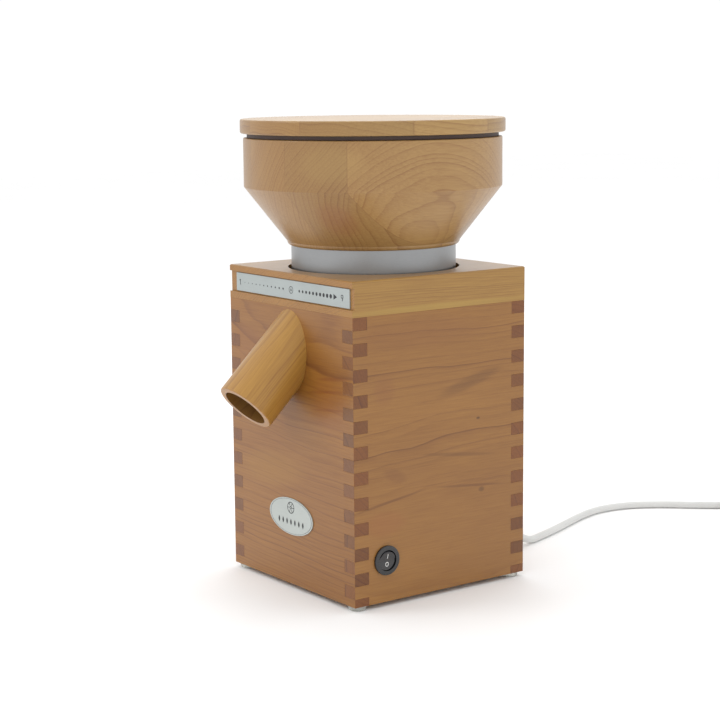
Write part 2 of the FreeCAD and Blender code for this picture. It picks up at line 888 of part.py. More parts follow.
def make_windings():
    # End turns above and below the stack, joined by the bars in the slots
    half = stator_slot_width / 2
    bar_start = winding_bore_radius + winding_inset
    bar = block(bar_start, stator_slot_radius, -half, half, z_stack_bottom, z_stack_top)
    coil = sleeve(winding_radius, winding_bore_radius, z_stack_top, z_stack_top + winding_height)
    low = z_stack_bottom - winding_height
    coil_low = sleeve(winding_radius, winding_bore_radius, low, z_stack_bottom)
    body = coil.fuse([coil_low] + around(bar, stator_slot_count))
    return body.removeSplitter()


def make_rotor():
    radius = stator_bore_radius - rotor_air_gap
    return sleeve(radius, shaft_radius, z_stack_bottom - rotor_end_ring, z_stack_top + rotor_end_ring)


def make_shaft():
    shaft = disc(shaft_radius, z_shaft_bottom, z_lower_carrier)
    return shaft.cut(disc(stone_screw_radius, z_lower_stone - stone_screw_length, z_lower_carrier + 1))


def make_tie_bolts():
    bolt = disc(tie_bolt_radius, z_shield_bottom - 1, z_motor + tie_bolt_grip - 0.5, tie_bolt_offset, 0)
    low = z_shield_bottom - tie_bolt_head_height
    head = disc(tie_bolt_head_radius, low, z_shield_bottom, tie_bolt_offset, 0)
    return Part.makeCompound(around(bolt.fuse(head), tie_bolt_count, tie_bolt_phase))


def make_fan():
    top = z_shield_bottom - fan_lift
    low = top - fan_disc_thickness
    fan = disc(fan_radius, low, top).fuse(disc(fan_hub_radius, low - fan_blade_height, top))
    half = fan_blade_thickness / 2
    blade = block(fan_hub_radius - 2, fan_radius - 1, -half, half, low - fan_blade_height, low)
    for copy in around(blade, fan_blade_count):
        fan = fan.fuse(copy)
    return fan.cut(disc(shaft_radius, low - fan_blade_height - 1, top + 1)).removeSplitter()


def make_thermal_cutout():
    middle = (z_stack_bottom + z_stack_top) / 2
    low, high = middle - thermal_cutout_length / 2, middle + thermal_cutout_length / 2
    x0 = -motor_radius - thermal_cutout_thickness
    half = thermal_cutout_width / 2
    piece = block(x0, x0 + 2 * thermal_cutout_thickness, -half, half, low, high)
    return piece.cut(disc(motor_radius, z_stack_bottom, z_stack_top))


# Capacitor
capacitor_y = y_back_inner - capacitor_radius - capacitor_wall_gap
capacitor_x = capacitor_radius + capacitor_wall_gap - x_inner


def make_capacitor():
    top = capacitor_bottom + capacitor_height
    can = disc(capacitor_radius, capacitor_bottom, top, capacitor_x, capacitor_y)
    rims = edges_at_height(can, capacitor_bottom) + edges_at_height(can, top)
    can = can.makeFillet(capacitor_edge, rims)
    for side in (-1, 1):
        x = capacitor_x + side * capacitor_tab_spacing / 2
        can = can.fuse(block(
            x - capacitor_tab_width / 2, x + capacitor_tab_width / 2,
            capacitor_y - capacitor_tab_thickness / 2, capacitor_y + capacitor_tab_thickness / 2,
            capacitor_bottom - capacitor_tab_length, capacitor_bottom,
        ))
    return can


def make_capacitor_clip():
    middle = capacitor_bottom + capacitor_height / 2
    low, high = middle - clip_height / 2, middle + clip_height / 2
    outer = capacitor_radius + clip_thickness
    band = sleeve(outer, capacitor_radius, low, high, capacitor_x, capacitor_y)
    foot = block(
        capacitor_x, capacitor_x + outer + clip_ear, y_back_inner - clip_thickness, y_back_inner, low, high
    )
    bridge = block(
        capacitor_x - clip_bridge / 2, capacitor_x + clip_bridge / 2,
        capacitor_y + capacitor_radius, y_back_inner, low, high,
    )
    can = disc(capacitor_radius, low - 1, high + 1, capacitor_x, capacitor_y)
    clip = band.fuse(foot).fuse(bridge).cut(can)
    start = (clip_screw_x, y_back_inner - 5, middle)
    return clip.cut(rod(clip_screw_radius, start, (0, 1, 0), 6)).removeSplitter()


clip_screw_x = capacitor_x + capacitor_radius + clip_ear / 2 + clip_thickness


def clip_screw_hole():
    start = (clip_screw_x, y_back_inner - 1, capacitor_bottom + capacitor_height / 2)
    return rod(clip_screw_radius, start, (0, 1, 0), clip_screw_length + 1)


def make_clip_screw():
    middle = capacitor_bottom + capacitor_height / 2
    y0 = y_back_inner - clip_thickness
    shank = rod(clip_screw_radius, (clip_screw_x, y0, middle), (0, 1, 0), clip_thickness + clip_screw_length)
    head_start = (clip_screw_x, y0 - clip_screw_head_height, middle)
    return shank.fuse(rod(clip_screw_head_radius, head_start, (0, 1, 0), clip_screw_head_height))


def make_terminal_block():
    y0 = axis_forward - terminal_length / 2
    x0 = -x_inner
    top = terminal_bottom + terminal_height
    body = block(x0, x0 + terminal_depth, y0, y0 + terminal_length, terminal_bottom, top)
    for x, y, z in terminal_places():
        start = (x - terminal_screw_depth, y, z)
        body = body.cut(rod(terminal_screw_radius, start, (1, 0, 0), terminal_screw_depth + 1))
    return body


def terminal_places():
    pitch = terminal_length / terminal_count
    places = []
    for step in range(terminal_count):
        y = axis_forward + (step + 0.5 - terminal_count / 2) * pitch
        places.append((-x_inner + terminal_depth, y, terminal_bottom + terminal_height / 2))
    return places


def make_terminal_screws():
    screws = []
    for x, y, z in terminal_places():
        start = (x - terminal_screw_depth, y, z)
        length = terminal_screw_depth - terminal_screw_sunk
        screws.append(rod(terminal_screw_radius, start, (1, 0, 0), length))
    return Part.makeCompound(screws)


# Switch
def make_switch_body():
    barrel_start = x_right - switch_barrel_length
    centre = (barrel_start, y_switch, switch_height)
    barrel = rod(switch_barrel_radius, centre, (1, 0, 0), switch_barrel_length)
    bezel = rod(switch_bezel_radius, (x_right, y_switch, switch_height), (1, 0, 0), switch_bezel_thickness)
    face = x_right + switch_bezel_thickness
    rims = [e for e in bezel.Edges if abs(e.BoundBox.XMin - face) < 0.01]
    bezel = bezel.makeFillet(switch_bezel_edge, rims)
    body = barrel.fuse(bezel)
    depth = switch_bore_depth + switch_bezel_thickness
    bore_start = (face - depth, y_switch, switch_height)
    body = body.cut(rod(switch_bore_radius, bore_start, (1, 0, 0), depth + 1))
    pin_hole = rocker_pin_radius + rocker_pin_gap
    pin_start = (rocker_pivot_x, y_switch - switch_bezel_radius, switch_height)
    return body.cut(rod(pin_hole, pin_start, (0, 1, 0), 2 * switch_bezel_radius))


def make_rocker():
    centre = Vector(rocker_pivot_x, y_switch, switch_height)
    ball = Part.makeSphere(rocker_radius, centre)
    rise = rocker_radius * math.tan(math.radians(rocker_tilt))
    face = rocker_pivot_x + rocker_face_rise
    back = rocker_pivot_x - rocker_back
    reach = rocker_radius
    outline = [
        Vector(back, 0, switch_height - reach), Vector(face + rise, 0, switch_height - reach),
        Vector(face, 0, switch_height), Vector(face + rise, 0, switch_height + reach),
        Vector(back, 0, switch_height + reach),
    ]
    prism = Part.Face(Part.makePolygon(outline + outline[:1])).extrude(Vector(0, 2 * reach, 0))
    prism.translate(Vector(0, y_switch - reach, 0))
    rocker = ball.common(prism)
    pin_start = (rocker_pivot_x, y_switch - rocker_pin_reach, switch_height)
    rocker = rocker.fuse(rod(rocker_pin_radius, pin_start, (0, 1, 0), 2 * rocker_pin_reach)).removeSplitter()
    rocker.rotate(centre, Vector(0, 1, 0), rocker_tilt)
    return rocker


def make_switch_nut():
    high = x_right - switch_web
    start = (high - switch_nut_thickness, y_switch, switch_height)
    nut = rod(switch_nut_radius, start, (1, 0, 0), switch_nut_thickness)
    return nut.cut(rod(switch_barrel_radius, start, (1, 0, 0), switch_nut_thickness))


def make_switch_blades():
    x1 = x_right - switch_barrel_length
    blades = []
    for dy in (-blade_spacing / 2, blade_spacing / 2):
        for dz in (-blade_spacing / 2, blade_spacing / 2):
            y, z = y_switch + dy, switch_height + dz
            blades.append(block(
                x1 - blade_length, x1, y - blade_thickness / 2, y + blade_thickness / 2,
                z - blade_width / 2, z + blade_width / 2,
            ))
    return Part.makeCompound(blades)


# Mains lead
def make_gland():
    # Flanged bush through the back panel with a tapered boot outside it
    inside = (gland_side, y_back_inner - gland_tail, gland_height)
    bush = rod(gland_hole_radius - gland_fit, inside, (0, 1, 0), panel_thickness + gland_tail)
    flange = rod(gland_flange_radius, (gland_side, y_back, gland_height), (0, 1, 0), gland_flange_thickness)
    boot = Part.makeCone(
        boot_root_radius, boot_tip_radius, boot_length,
        Vector(gland_side, y_back + gland_flange_thickness, gland_height), Vector(0, 1, 0),
    )
    return bush.fuse(flange).fuse(boot).removeSplitter()


cord_rest = cord_radius + cord_clearance
cord_route = [
    (gland_side, y_back + gland_flange_thickness + boot_length, gland_height),
    (19.5, 141.0, 15.5),
    (16.0, 162.0, cord_rest),
    (9.0, 184.0, cord_rest),
    (1.0, 206.0, cord_rest),
    (-10.0, 233.0, cord_rest),
    (-22.5, 262.0, cord_rest),
    (-32.0, 294.0, cord_rest),
    (-28.0, 328.0, cord_rest),
    (-11.0, 355.5, cord_rest),
    (20.5, 389.5, cord_rest),
    (48.0, 424.7, cord_rest),
]


def tube_path(points, share=0.45):
    # Straight runs joined by tangent arcs, each arc as large as its two runs allow
    points = [Vector(*p) for p in points]
    edges = []
    radii = []
    start = points[0]
    for before, corner, after in zip(points[:-2], points[1:-1], points[2:]):
        into = (corner - before).normalize()
        out = (after - corner).normalize()
        half_turn = into.getAngle(out) / 2
        setback = share * min((corner - before).Length, (after - corner).Length)
        radius = setback / math.tan(half_turn)
        radii.append(radius)
        first = corner - into * setback
        last = corner + out * setback
        towards = (out - into).normalize()
        middle = corner + towards * (radius / math.cos(half_turn) - radius)
        edges.append(Part.LineSegment(start, first).toShape())
        edges.append(Part.Arc(first, middle, last).toShape())
        start = last
    edges.append(Part.LineSegment(start, points[-1]).toShape())
    return Part.Wire(edges), radii


def make_cord():
    path, radii = tube_path(cord_route)
    start = Vector(*cord_route[0])
    direction = Vector(*cord_route[1]) - start
    section = Part.Wire(Part.Circle(start, direction, cord_radius).toShape())
    tube = path.makePipeShell([section], True, False)
    print("cord radii", [round(r, 1) for r in radii])
    ratio = tube.Volume / path.Length / math.pi / cord_radius**2
    print("cord length", round(path.Length, 1), "volume ratio", round(ratio, 4))
    return tube


coil_half_width = coil_columns * cord_radius
coil_bottom = cord_clearance
coil_height = coil_layers * 2 * cord_radius


def tie_band(grow):
    # A band round the bundle of turns, drawn on the +X side of the coil and turned into place
    half = coil_half_width - tie_squeeze + grow
    low = coil_bottom + tie_thickness - grow
    high = coil_bottom + coil_height - tie_squeeze + grow
    x = coil_turn_radius
    band = block(x - half, x + half, -tie_width / 2, tie_width / 2, low, high)
    band.rotate(Vector(0, 0, 0), UP, tie_angle)
    band.translate(Vector(coil_centre_x, coil_centre_y, 0))
    return band


def make_coil_tie():
    return tie_band(tie_thickness).cut(tie_band(0.0))


def make_coil():
    # Outer shape of the wound turns, squeezed where the tie goes round them
    inner = coil_turn_radius - coil_half_width
    outer = coil_turn_radius + coil_half_width
    turns = sleeve(outer, inner, coil_bottom, coil_bottom + coil_height, coil_centre_x, coil_centre_y)
    wide = block(
        coil_turn_radius - 2 * coil_half_width, coil_turn_radius + 2 * coil_half_width,
        -tie_width / 2, tie_width / 2, coil_bottom - 1, coil_bottom + coil_height + 1,
    )
    wide.rotate(Vector(0, 0, 0), UP, tie_angle)
    wide.translate(Vector(coil_centre_x, coil_centre_y, 0))
    return turns.cut(wide.cut(tie_band(0.0)))


# The plug lies on the table beside the coil and points back along -Y
plug_x = coil_centre_x + coil_turn_radius
plug_z = plug_radius + cord_clearance
coil_outer = coil_turn_radius + coil_half_width
plug_neck_end = coil_centre_y - math.sqrt(coil_outer**2 - coil_turn_radius**2) + plug_neck_overlap
plug_back = plug_neck_end - plug_neck_length
plug_face = plug_back - plug_length


def make_plug_body():
    body = rod(plug_radius, (plug_x, plug_face, plug_z), (0, 1, 0), plug_length)
    rims = [e for e in body.Edges if e.BoundBox.YLength < 0.01]
    body = body.makeFillet(plug_front_round, rims)
    neck = Part.makeCone(
        plug_neck_radius, plug_neck_tip_radius, plug_neck_length,
        Vector(plug_x, plug_back, plug_z), Vector(0, 1, 0),
    )
    body = body.fuse(neck)
    half = plug_slot_width / 2
    for side in (-1, 1):
        z0 = plug_z + side * plug_radius - plug_slot_depth
        z1 = z0 + 2 * plug_slot_depth
        slot = block(plug_x - half, plug_x + half, plug_face - 1, plug_back - plug_slot_stop, z0, z1)
        body = body.cut(slot)
    return body


def make_plug_pins():
    pins = []
    for side in (-1, 1):
        x = plug_x + side * plug_pin_spacing / 2
        pin = rod(plug_pin_radius, (x, plug_face - plug_pin_length, plug_z), (0, 1, 0), plug_pin_length)
        tip = plug_face - plug_pin_length
        rims = [e for e in pin.Edges if abs(e.BoundBox.YMin - tip) < 0.01 and e.BoundBox.YLength < 0.01]
        pins.append(pin.makeFillet(plug_pin_round, rims))
    return Part.makeCompound(pins)


export("front_panel", make_front_panel())
export("back_panel", make_back_panel().cut(clip_screw_hole()))
export("left_panel", side_panel(-x_right, -x_inner))
export("right_panel", make_right_panel())
export("top_board", make_top_board())
export("scale_plate", make_scale_plate())
export("badge_plate", make_badge())
export("spout", make_spout())
export("corner_blocks", make_corner_blocks())
export("floor_plate", make_floor_plate())
export("floor_screws", make_floor_screws())
export("feet", make_feet())
export("grinding_chamber", make_chamber())
export("chamber_bolts", make_chamber_bolts())
export("shaft_seal", make_shaft_seal())
export("lug_buffers", make_lug_buffers())
export("lower_stone", make_lower_stone())
export("lower_stone_carrier", make_lower_carrier())
export("stone_screw", make_stone_screw())
export("stone_washer", make_stone_washer())
export("upper_stone", make_upper_stone())
export("upper_stone_carrier", make_upper_carrier())
export("adjusting_ring", make_ring())
export("ring_screws", make_ring_screws())
export("hopper_bowl", make_bowl())
export("feed_tube", make_feed_tube())
export("lid", make_lid())
export("lid_gasket", make_gasket())
export("upper_end_shield", make_upper_shield())
export("lower_end_shield", make_lower_shield())
export("stator_stack", make_stator())
export("stator_windings", make_windings())
export("rotor_core", make_rotor())
export("motor_shaft", make_shaft())
export("upper_bearing", bearing(z_upper_bearing))
export("lower_bearing", bearing(z_lower_bearing))
export("tie_bolts", make_tie_bolts())
export("cooling_fan", make_fan())
export("thermal_cutout", make_thermal_cutout())
export("capacitor", make_capacitor())
export("capacitor_clip", make_capacitor_clip())
export("clip_screw", make_clip_screw())
export("terminal_block", make_terminal_block())
export("terminal_screws", make_terminal_screws())
export("switch_body", make_switch_body())
export("switch_rocker", make_rocker())
export("switch_nut", make_switch_nut())
export("switch_blades", make_switch_blades())
export("cord_gland", make_gland())
export("mains_cord", make_cord())
export("cord_coil", make_coil())
export("coil_tie", make_coil_tie())
export("plug_body", make_plug_body())
export("plug_pins", make_plug_pins())
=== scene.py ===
import math

import bmesh
import bpy
from mathutils import Matrix, Vector
from mathutils.bvhtree import BVHTree


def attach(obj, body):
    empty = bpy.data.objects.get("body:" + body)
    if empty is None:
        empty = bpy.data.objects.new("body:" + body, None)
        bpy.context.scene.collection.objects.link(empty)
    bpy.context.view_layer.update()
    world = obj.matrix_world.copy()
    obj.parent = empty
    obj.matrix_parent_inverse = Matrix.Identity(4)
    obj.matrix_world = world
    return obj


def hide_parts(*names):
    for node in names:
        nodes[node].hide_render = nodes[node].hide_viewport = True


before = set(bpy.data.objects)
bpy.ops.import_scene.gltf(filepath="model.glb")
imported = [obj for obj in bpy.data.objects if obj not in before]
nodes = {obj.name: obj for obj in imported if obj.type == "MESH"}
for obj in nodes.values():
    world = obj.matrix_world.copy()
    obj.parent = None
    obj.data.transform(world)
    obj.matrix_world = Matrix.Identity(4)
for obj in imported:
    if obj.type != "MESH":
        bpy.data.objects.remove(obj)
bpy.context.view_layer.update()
scene = bpy.context.scene

# The housing, in metres: its sides at +-x, its front face in y, the top board's underside and the joints' pitch
HALF_WIDTH = 0.089
FRONT = -0.0872
BOARD_LOW = 0.2381
FINGER_PITCH = 0.01032


def srgb(red, green, blue):
    """Turns a colour as seen on a screen, 0 to 255, into the linear one that shaders use."""
    def linear(value):
        value /= 255
        return value / 12.92 if value <= 0.04045 else ((value + 0.055) / 1.055) ** 2.4
    return (linear(red), linear(green), linear(blue), 1.0)


class Shader:
    """One material and short ways of adding nodes to it."""

    def __init__(self, name):
        self.material = bpy.data.materials.new(name)
        self.material.use_nodes = True
        self.tree = self.material.node_tree
        self.surface = self.tree.nodes["Principled BSDF"]
        self.place = self.put("ShaderNodeTexCoord").outputs["Object"]

    def put(self, kind, inputs=None, **settings):
        node = self.tree.nodes.new(kind)
        for key, value in settings.items():
            setattr(node, key, value)
        for key, value in (inputs or {}).items():
            if isinstance(value, bpy.types.NodeSocket):
                self.tree.links.new(value, node.inputs[key])
            else:
                node.inputs[key].default_value = value
        return node

    def math(self, operation, first, second=0.0, third=0.0):
        inputs = {0: first, 1: second, 2: third}
        return self.put("ShaderNodeMath", inputs, operation=operation).outputs[0]

    def vector(self, operation, first, second):
        return self.put("ShaderNodeVectorMath", {0: first, 1: second}, operation=operation).outputs[0]

    def part(self, vector, index):
        return self.put("ShaderNodeSeparateXYZ", {0: vector}).outputs[index]

    def length(self, vector):
        return self.put("ShaderNodeVectorMath", {0: vector}, operation="LENGTH").outputs["Value"]

    def chance(self, seed):
        """The outputs of a node with one random value and one random colour for each seed."""
        return self.put("ShaderNodeTexWhiteNoise", {"W": seed}, noise_dimensions="1D").outputs

    def noise(self, place, scale, detail=2.0, roughness=0.5, output="Fac"):
        inputs = {"Vector": place, "Scale": scale, "Detail": detail, "Roughness": roughness}
        return self.put("ShaderNodeTexNoise", inputs).outputs[output]

    def ramp(self, value, stops, interpolation="LINEAR"):
        node = self.put("ShaderNodeValToRGB", {"Fac": value})
        node.color_ramp.interpolation = interpolation
        while len(node.color_ramp.elements) < len(stops):
            node.color_ramp.elements.new(1.0)
        for element, (position, colour) in zip(node.color_ramp.elements, stops):
            element.position = position
            element.color = colour if isinstance(colour, tuple) else (colour, colour, colour, 1.0)
        return node.outputs["Color"]

    def mix(self, factor, first, second, blend="MIX"):
        inputs = {0: factor, 6: first, 7: second}
        return self.put("ShaderNodeMix", inputs, data_type="RGBA", blend_type=blend).outputs[2]

    def set(self, **inputs):
        for key, value in inputs.items():
            socket = self.surface.inputs[key.replace("_", " ")]
            if isinstance(value, bpy.types.NodeSocket):
                self.tree.links.new(value, socket)
            else:
                socket.default_value = value

    def bump(self, height, strength, distance):
        inputs = {"Height": height, "Strength": strength, "Distance": distance}
        self.set(Normal=self.put("ShaderNodeBump", inputs).outputs[0])


# Rotations that bring the grain's axis to x
TURNS = {"X": (0, 0, 0), "Y": (0, 0, -math.pi / 2), "Z": (0, math.pi / 2, 0)}
MIDDLE_GREY = (0.5, 0.5, 0.5)


def sway(s, local, scale):
    """Noise about zero, drawn out along the grain."""
    stretched = s.vector("MULTIPLY", local, (0.35, 1.0, 1.0))
    return s.vector("SUBTRACT", s.noise(stretched, scale, 2.0, 0.5, "Color"), MIDDLE_GREY)


def ring_count(s, local, wave, pith, tilt, ring):
    """How many growth rings lie between the pith line and each point, wavy and uneven in width."""
    moved = s.vector("ADD", local, s.vector("MULTIPLY", wave, (0.0, 0.035, 0.035)))
    moved = s.vector("ADD", moved, s.vector("MULTIPLY", sway(s, local, 55.0), (0.0, 0.0022, 0.0022)))
    along, side, deep = s.put("ShaderNodeSeparateXYZ", {0: s.vector("ADD", moved, pith)}).outputs
    side = s.math("MULTIPLY_ADD", along, tilt[0], side)
    deep = s.math("MULTIPLY_ADD", along, tilt[1], deep)
    radius = s.math("SQRT", s.math("ADD", s.math("MULTIPLY", side, side), s.math("MULTIPLY", deep, deep)))
    uneven = s.put("ShaderNodeTexNoise", {"W": radius, "Scale": 90.0, "Detail": 1.0}, noise_dimensions="1D")
    return s.math("ADD", s.math("DIVIDE", radius, ring), s.math("MULTIPLY", uneven.outputs[0], 2.4))


def patched(s, colour, zones, wave):
    """Soft patches of other tones."""
    drift = s.vector("ADD", s.place, s.vector("MULTIPLY", wave, (0.012, 0.012, 0.012)))
    for place, size, slant, tint, amount in zones:
        offset = s.vector("SUBTRACT", drift, place)
        offset = s.put("ShaderNodeMapping", {"Rotation": slant, "Vector": offset}).outputs[0]
        reach = s.length(s.vector("DIVIDE", offset, size))
        patch = s.ramp(reach, [(0.0, amount), (0.45, amount * 0.8), (1.0, 0.0)], "EASE")
        colour = s.mix(patch, colour, tint)
    return colour


def glued(s, colour, line, steps, value):
    """Boards a shade apart, with a thin seam between them."""
    shade = s.math("MULTIPLY_ADD", value, 0.15, 0.925)
    grey = s.put("ShaderNodeCombineColor", {0: shade, 1: shade, 2: shade}).outputs[0]
    colour = s.mix(1.0, colour, grey, "MULTIPLY")
    edge = s.math("ABSOLUTE", s.math("SUBTRACT", s.math("FRACT", steps), 0.5))
    seam = s.ramp(edge, [(0.0, 0.0), (0.494, 0.0), (0.498, 0.35), (0.5, 0.45)])
    return s.mix(seam, colour, line)


def bore_shaded(s, colour, place_along, side, deep, radius):
    """Painted shade on the wall inside a hole along the grain."""
    offset = s.vector("SUBTRACT", place_along, (0.0, side, deep))
    reach = s.length(s.vector("MULTIPLY", offset, (0.0, 1.0, 1.0)))
    # Painted shade: the wall inside the bore is darkened with the dark brown of the knots
    inside = s.ramp(s.math("DIVIDE", reach, radius), [(0.0, 0.62), (0.995, 0.62), (1.0, 0.0)])
    return s.mix(inside, colour, KNOT_AND_SHADE_BROWN)


def end_grained(s, colour, rotation, end, fingers):
    """Darker wood where the surface cuts across the fibres, and a shade for each finger of a joint."""
    normal = s.put("ShaderNodeTexCoord").outputs["Normal"]
    facing = s.put("ShaderNodeMapping", {"Rotation": rotation, "Vector": normal}).outputs[0]
    cut = s.ramp(s.math("ABSOLUTE", s.part(facing, 0)), [(0.35, 0.0), (0.95, 1.0)])
    darker = s.mix(1.0, colour, (*end, 1.0), "MULTIPLY")
    if fingers:
        drop = s.math("SUBTRACT", BOARD_LOW, s.part(s.place, 2))
        step = s.math("FLOOR", s.math("DIVIDE", drop, FINGER_PITCH))
        own = s.chance(s.math("ADD", step, fingers))["Value"]
        amount = s.math("MULTIPLY_ADD", own, 0.36, 0.86)
        warmth = s.math("MULTIPLY_ADD", own, 0.3, 0.88)
        shades = s.put("ShaderNodeCombineColor", {0: amount, 1: warmth, 2: warmth}).outputs[0]
        darker = s.mix(1.0, darker, shades, "MULTIPLY")
    return s.mix(cut, colour, darker)


def wood(
    name, light, dark, line, grain="X", turn=None, pith=(0.0, 0.0, 0.09), tilt=(0.0, 0.0), ring=0.0042,
    boards=None, blotch=0.35, streak=0.55, end=(0.62, 0.5, 0.44), fingers=None, zones=(), line_depth=0.62,
    bore=None,
):
    """Solid wood: growth rings round a pith line along the grain, so face, edge and end grain all follow.

    light, dark and line are the colours of early wood, late wood and ring lines. turn is a rotation that stands
    for grain where the fibres follow no axis. pith, tilt and ring place the pith line, slant it and space the
    rings. boards is (axis, width, start) where the piece is glued up of boards. blotch and streak set how strong
    slow patches and fibres are, and end is what end grain multiplies the colour by. fingers is a seed that gives
    each square of a finger joint's end grain its own shade. zones are (place, size, slant, colour, amount) of
    soft patches of another tone. bore is (side, deep, radius) of a hole along the grain, with painted shade
    inside it.
    """
    s = Shader(name)
    rotation = turn or TURNS[grain]
    place_along = s.put("ShaderNodeMapping", {"Rotation": rotation, "Vector": s.place}).outputs[0]
    local = place_along
    if boards:
        axis, width, start = boards
        across = s.part(s.place, "XYZ".index(axis))
        steps = s.math("DIVIDE", s.math("SUBTRACT", across, start), width)
        board = s.chance(s.math("FLOOR", steps))
        centred = s.vector("SUBTRACT", board["Color"], MIDDLE_GREY)
        local = s.vector("ADD", local, s.vector("MULTIPLY", centred, (0.9, 0.12, 0.05)))
    wave = sway(s, local, 9.0)
    phase = ring_count(s, local, wave, pith, tilt, ring)
    year = s.chance(s.math("FLOOR", phase))["Value"]
    within = s.math("FRACT", phase)
    late = s.ramp(within, [(0.0, 0.15), (0.12, 0.0), (0.6, 0.22), (0.9, 0.9), (0.96, 1.0), (1.0, 0.2)])
    strength = s.math("MULTIPLY", late, s.math("MULTIPLY_ADD", year, 0.75, 0.25))
    # Fibres, pores and slow patches
    fibres = s.noise(s.vector("MULTIPLY", local, (0.03, 1.0, 1.0)), 900.0, 3.0, 0.6)
    pores = s.noise(s.vector("MULTIPLY", local, (0.045, 1.0, 1.0)), 2600.0, 2.0, 0.6)
    patches = s.noise(s.vector("MULTIPLY", local, (0.3, 1.0, 1.0)), 17.0, 3.0, 0.55)
    tone = s.math("MULTIPLY_ADD", s.math("SUBTRACT", fibres, 0.5), streak * 2, 0.32)
    tone = s.math("MULTIPLY_ADD", s.math("SUBTRACT", patches, 0.5), blotch * 3, tone)
    tone = s.math("MULTIPLY_ADD", strength, 0.5, tone)
    colour = s.mix(s.math("MINIMUM", s.math("MAXIMUM", tone, 0.0), 1.0), light, dark)
    # Thin lines where some of the years end
    thin = s.ramp(within, [(0.0, 0.0), (0.84, 0.0), (0.94, 1.0), (1.0, 0.0)])
    chosen = s.ramp(year, [(0.0, 0.0), (0.45, 0.1), (0.8, 0.75), (1.0, 1.0)])
    colour = s.mix(s.math("MULTIPLY", s.math("MULTIPLY", thin, chosen), line_depth), colour, line)
    colour = s.mix(s.ramp(pores, [(0.0, 0.45), (0.33, 0.12), (0.42, 0.0)]), colour, line)
    colour = patched(s, colour, zones, wave)
    if boards:
        colour = glued(s, colour, line, steps, board["Value"])
    # Painted shade inside the hole along the grain
    if bore:
        colour = bore_shaded(s, colour, place_along, *bore)
    colour = end_grained(s, colour, rotation, end, fingers)
    s.set(Base_Color=colour, IOR=1.45, Coat_Weight=0.3, Coat_Roughness=0.28)
    s.set(Roughness=s.math("MULTIPLY_ADD", fibres, 0.16, 0.34))
    s.bump(s.math("ADD", s.math("MULTIPLY", fibres, 0.6), s.math("MULTIPLY", strength, -0.4)), 0.25, 0.0003)
    return s.material


def toned(s, fine, slow, share, colour, spread):
    """The colour a little darker and lighter from place to place."""
    shade = s.math("ADD", s.math("MULTIPLY", fine, share), s.math("MULTIPLY", slow, 1 - share))
    low = tuple(c * (1 - spread) for c in colour[:3]) + (1.0,)
    high = tuple(min(1.0, c * (1 + spread)) for c in colour[:3]) + (1.0,)
    return s.ramp(shade, [(0.3, low), (0.7, high)])


def metal(name, colour, rough, brush=(1.0, 1.0, 1.0), scale=900.0, depth=0.1, spread=0.08):
    """Bare metal with fine tool or grinding marks, stretched by brush."""
    s = Shader(name)
    place = s.vector("MULTIPLY", s.place, brush)
    marks = s.noise(place, scale, 3.0, 0.6)
    cloud = s.noise(s.place, 30.0, 2.0)
    s.set(Base_Color=toned(s, marks, cloud, 0.5, colour, spread), Metallic=1.0)
    s.set(Roughness=s.math("MULTIPLY_ADD", marks, 0.16, rough - 0.08))
    s.bump(marks, depth, 0.0001)
    return s.material


def plastic(name, colour, rough, scale=1500.0, depth=0.08, spread=0.06, coat=0.0, clear=0.0):
    """Moulded plastic, rubber or felt with a fine grain."""
    s = Shader(name)
    grain = s.noise(s.place, scale, 3.0, 0.6)
    cloud = s.noise(s.place, 60.0, 2.0)
    s.set(Base_Color=toned(s, grain, cloud, 0.4, colour, spread), Coat_Weight=coat, Coat_Roughness=0.2)
    s.set(Roughness=s.math("MULTIPLY_ADD", grain, 0.14, rough - 0.07), Transmission_Weight=clear)
    s.bump(grain, depth, 0.0002)
    return s.material


def speckled(name, base, specks, scale, rough):
    """Cast stone with grains of other tones."""
    s = Shader(name)
    cells = s.put("ShaderNodeTexVoronoi", {"Vector": s.place, "Scale": scale}).outputs["Color"]
    cell = s.put("ShaderNodeSeparateColor", {0: cells}).outputs[0]
    cloud = s.noise(s.place, 120.0, 3.0)
    colour = s.mix(s.ramp(cell, [(0.55, 0.0), (0.9, 1.0)]), base, specks)
    colour = s.mix(s.math("MULTIPLY", cloud, 0.4), colour, (0.9, 0.88, 0.82, 1.0))
    s.set(Base_Color=colour, Roughness=rough)
    s.bump(cell, 0.5, 0.0006)
    return s.material


def banded(name, first, second, axis, pitch, rough, metallic):
    """Fine bands across an axis: stacked sheets or wound wire."""
    s = Shader(name)
    along = s.part(s.place, "XYZ".index(axis))
    shake = s.math("MULTIPLY", s.noise(s.place, 160.0, 2.0), 0.6)
    within = s.math("FRACT", s.math("ADD", s.math("DIVIDE", along, pitch), shake))
    band = s.ramp(within, [(0.0, 0.0), (0.25, 1.0), (0.75, 1.0), (1.0, 0.0)])
    s.set(Base_Color=s.mix(band, second, first), Roughness=rough, Metallic=metallic)
    s.bump(band, 0.5, 0.0003)
    return s.material


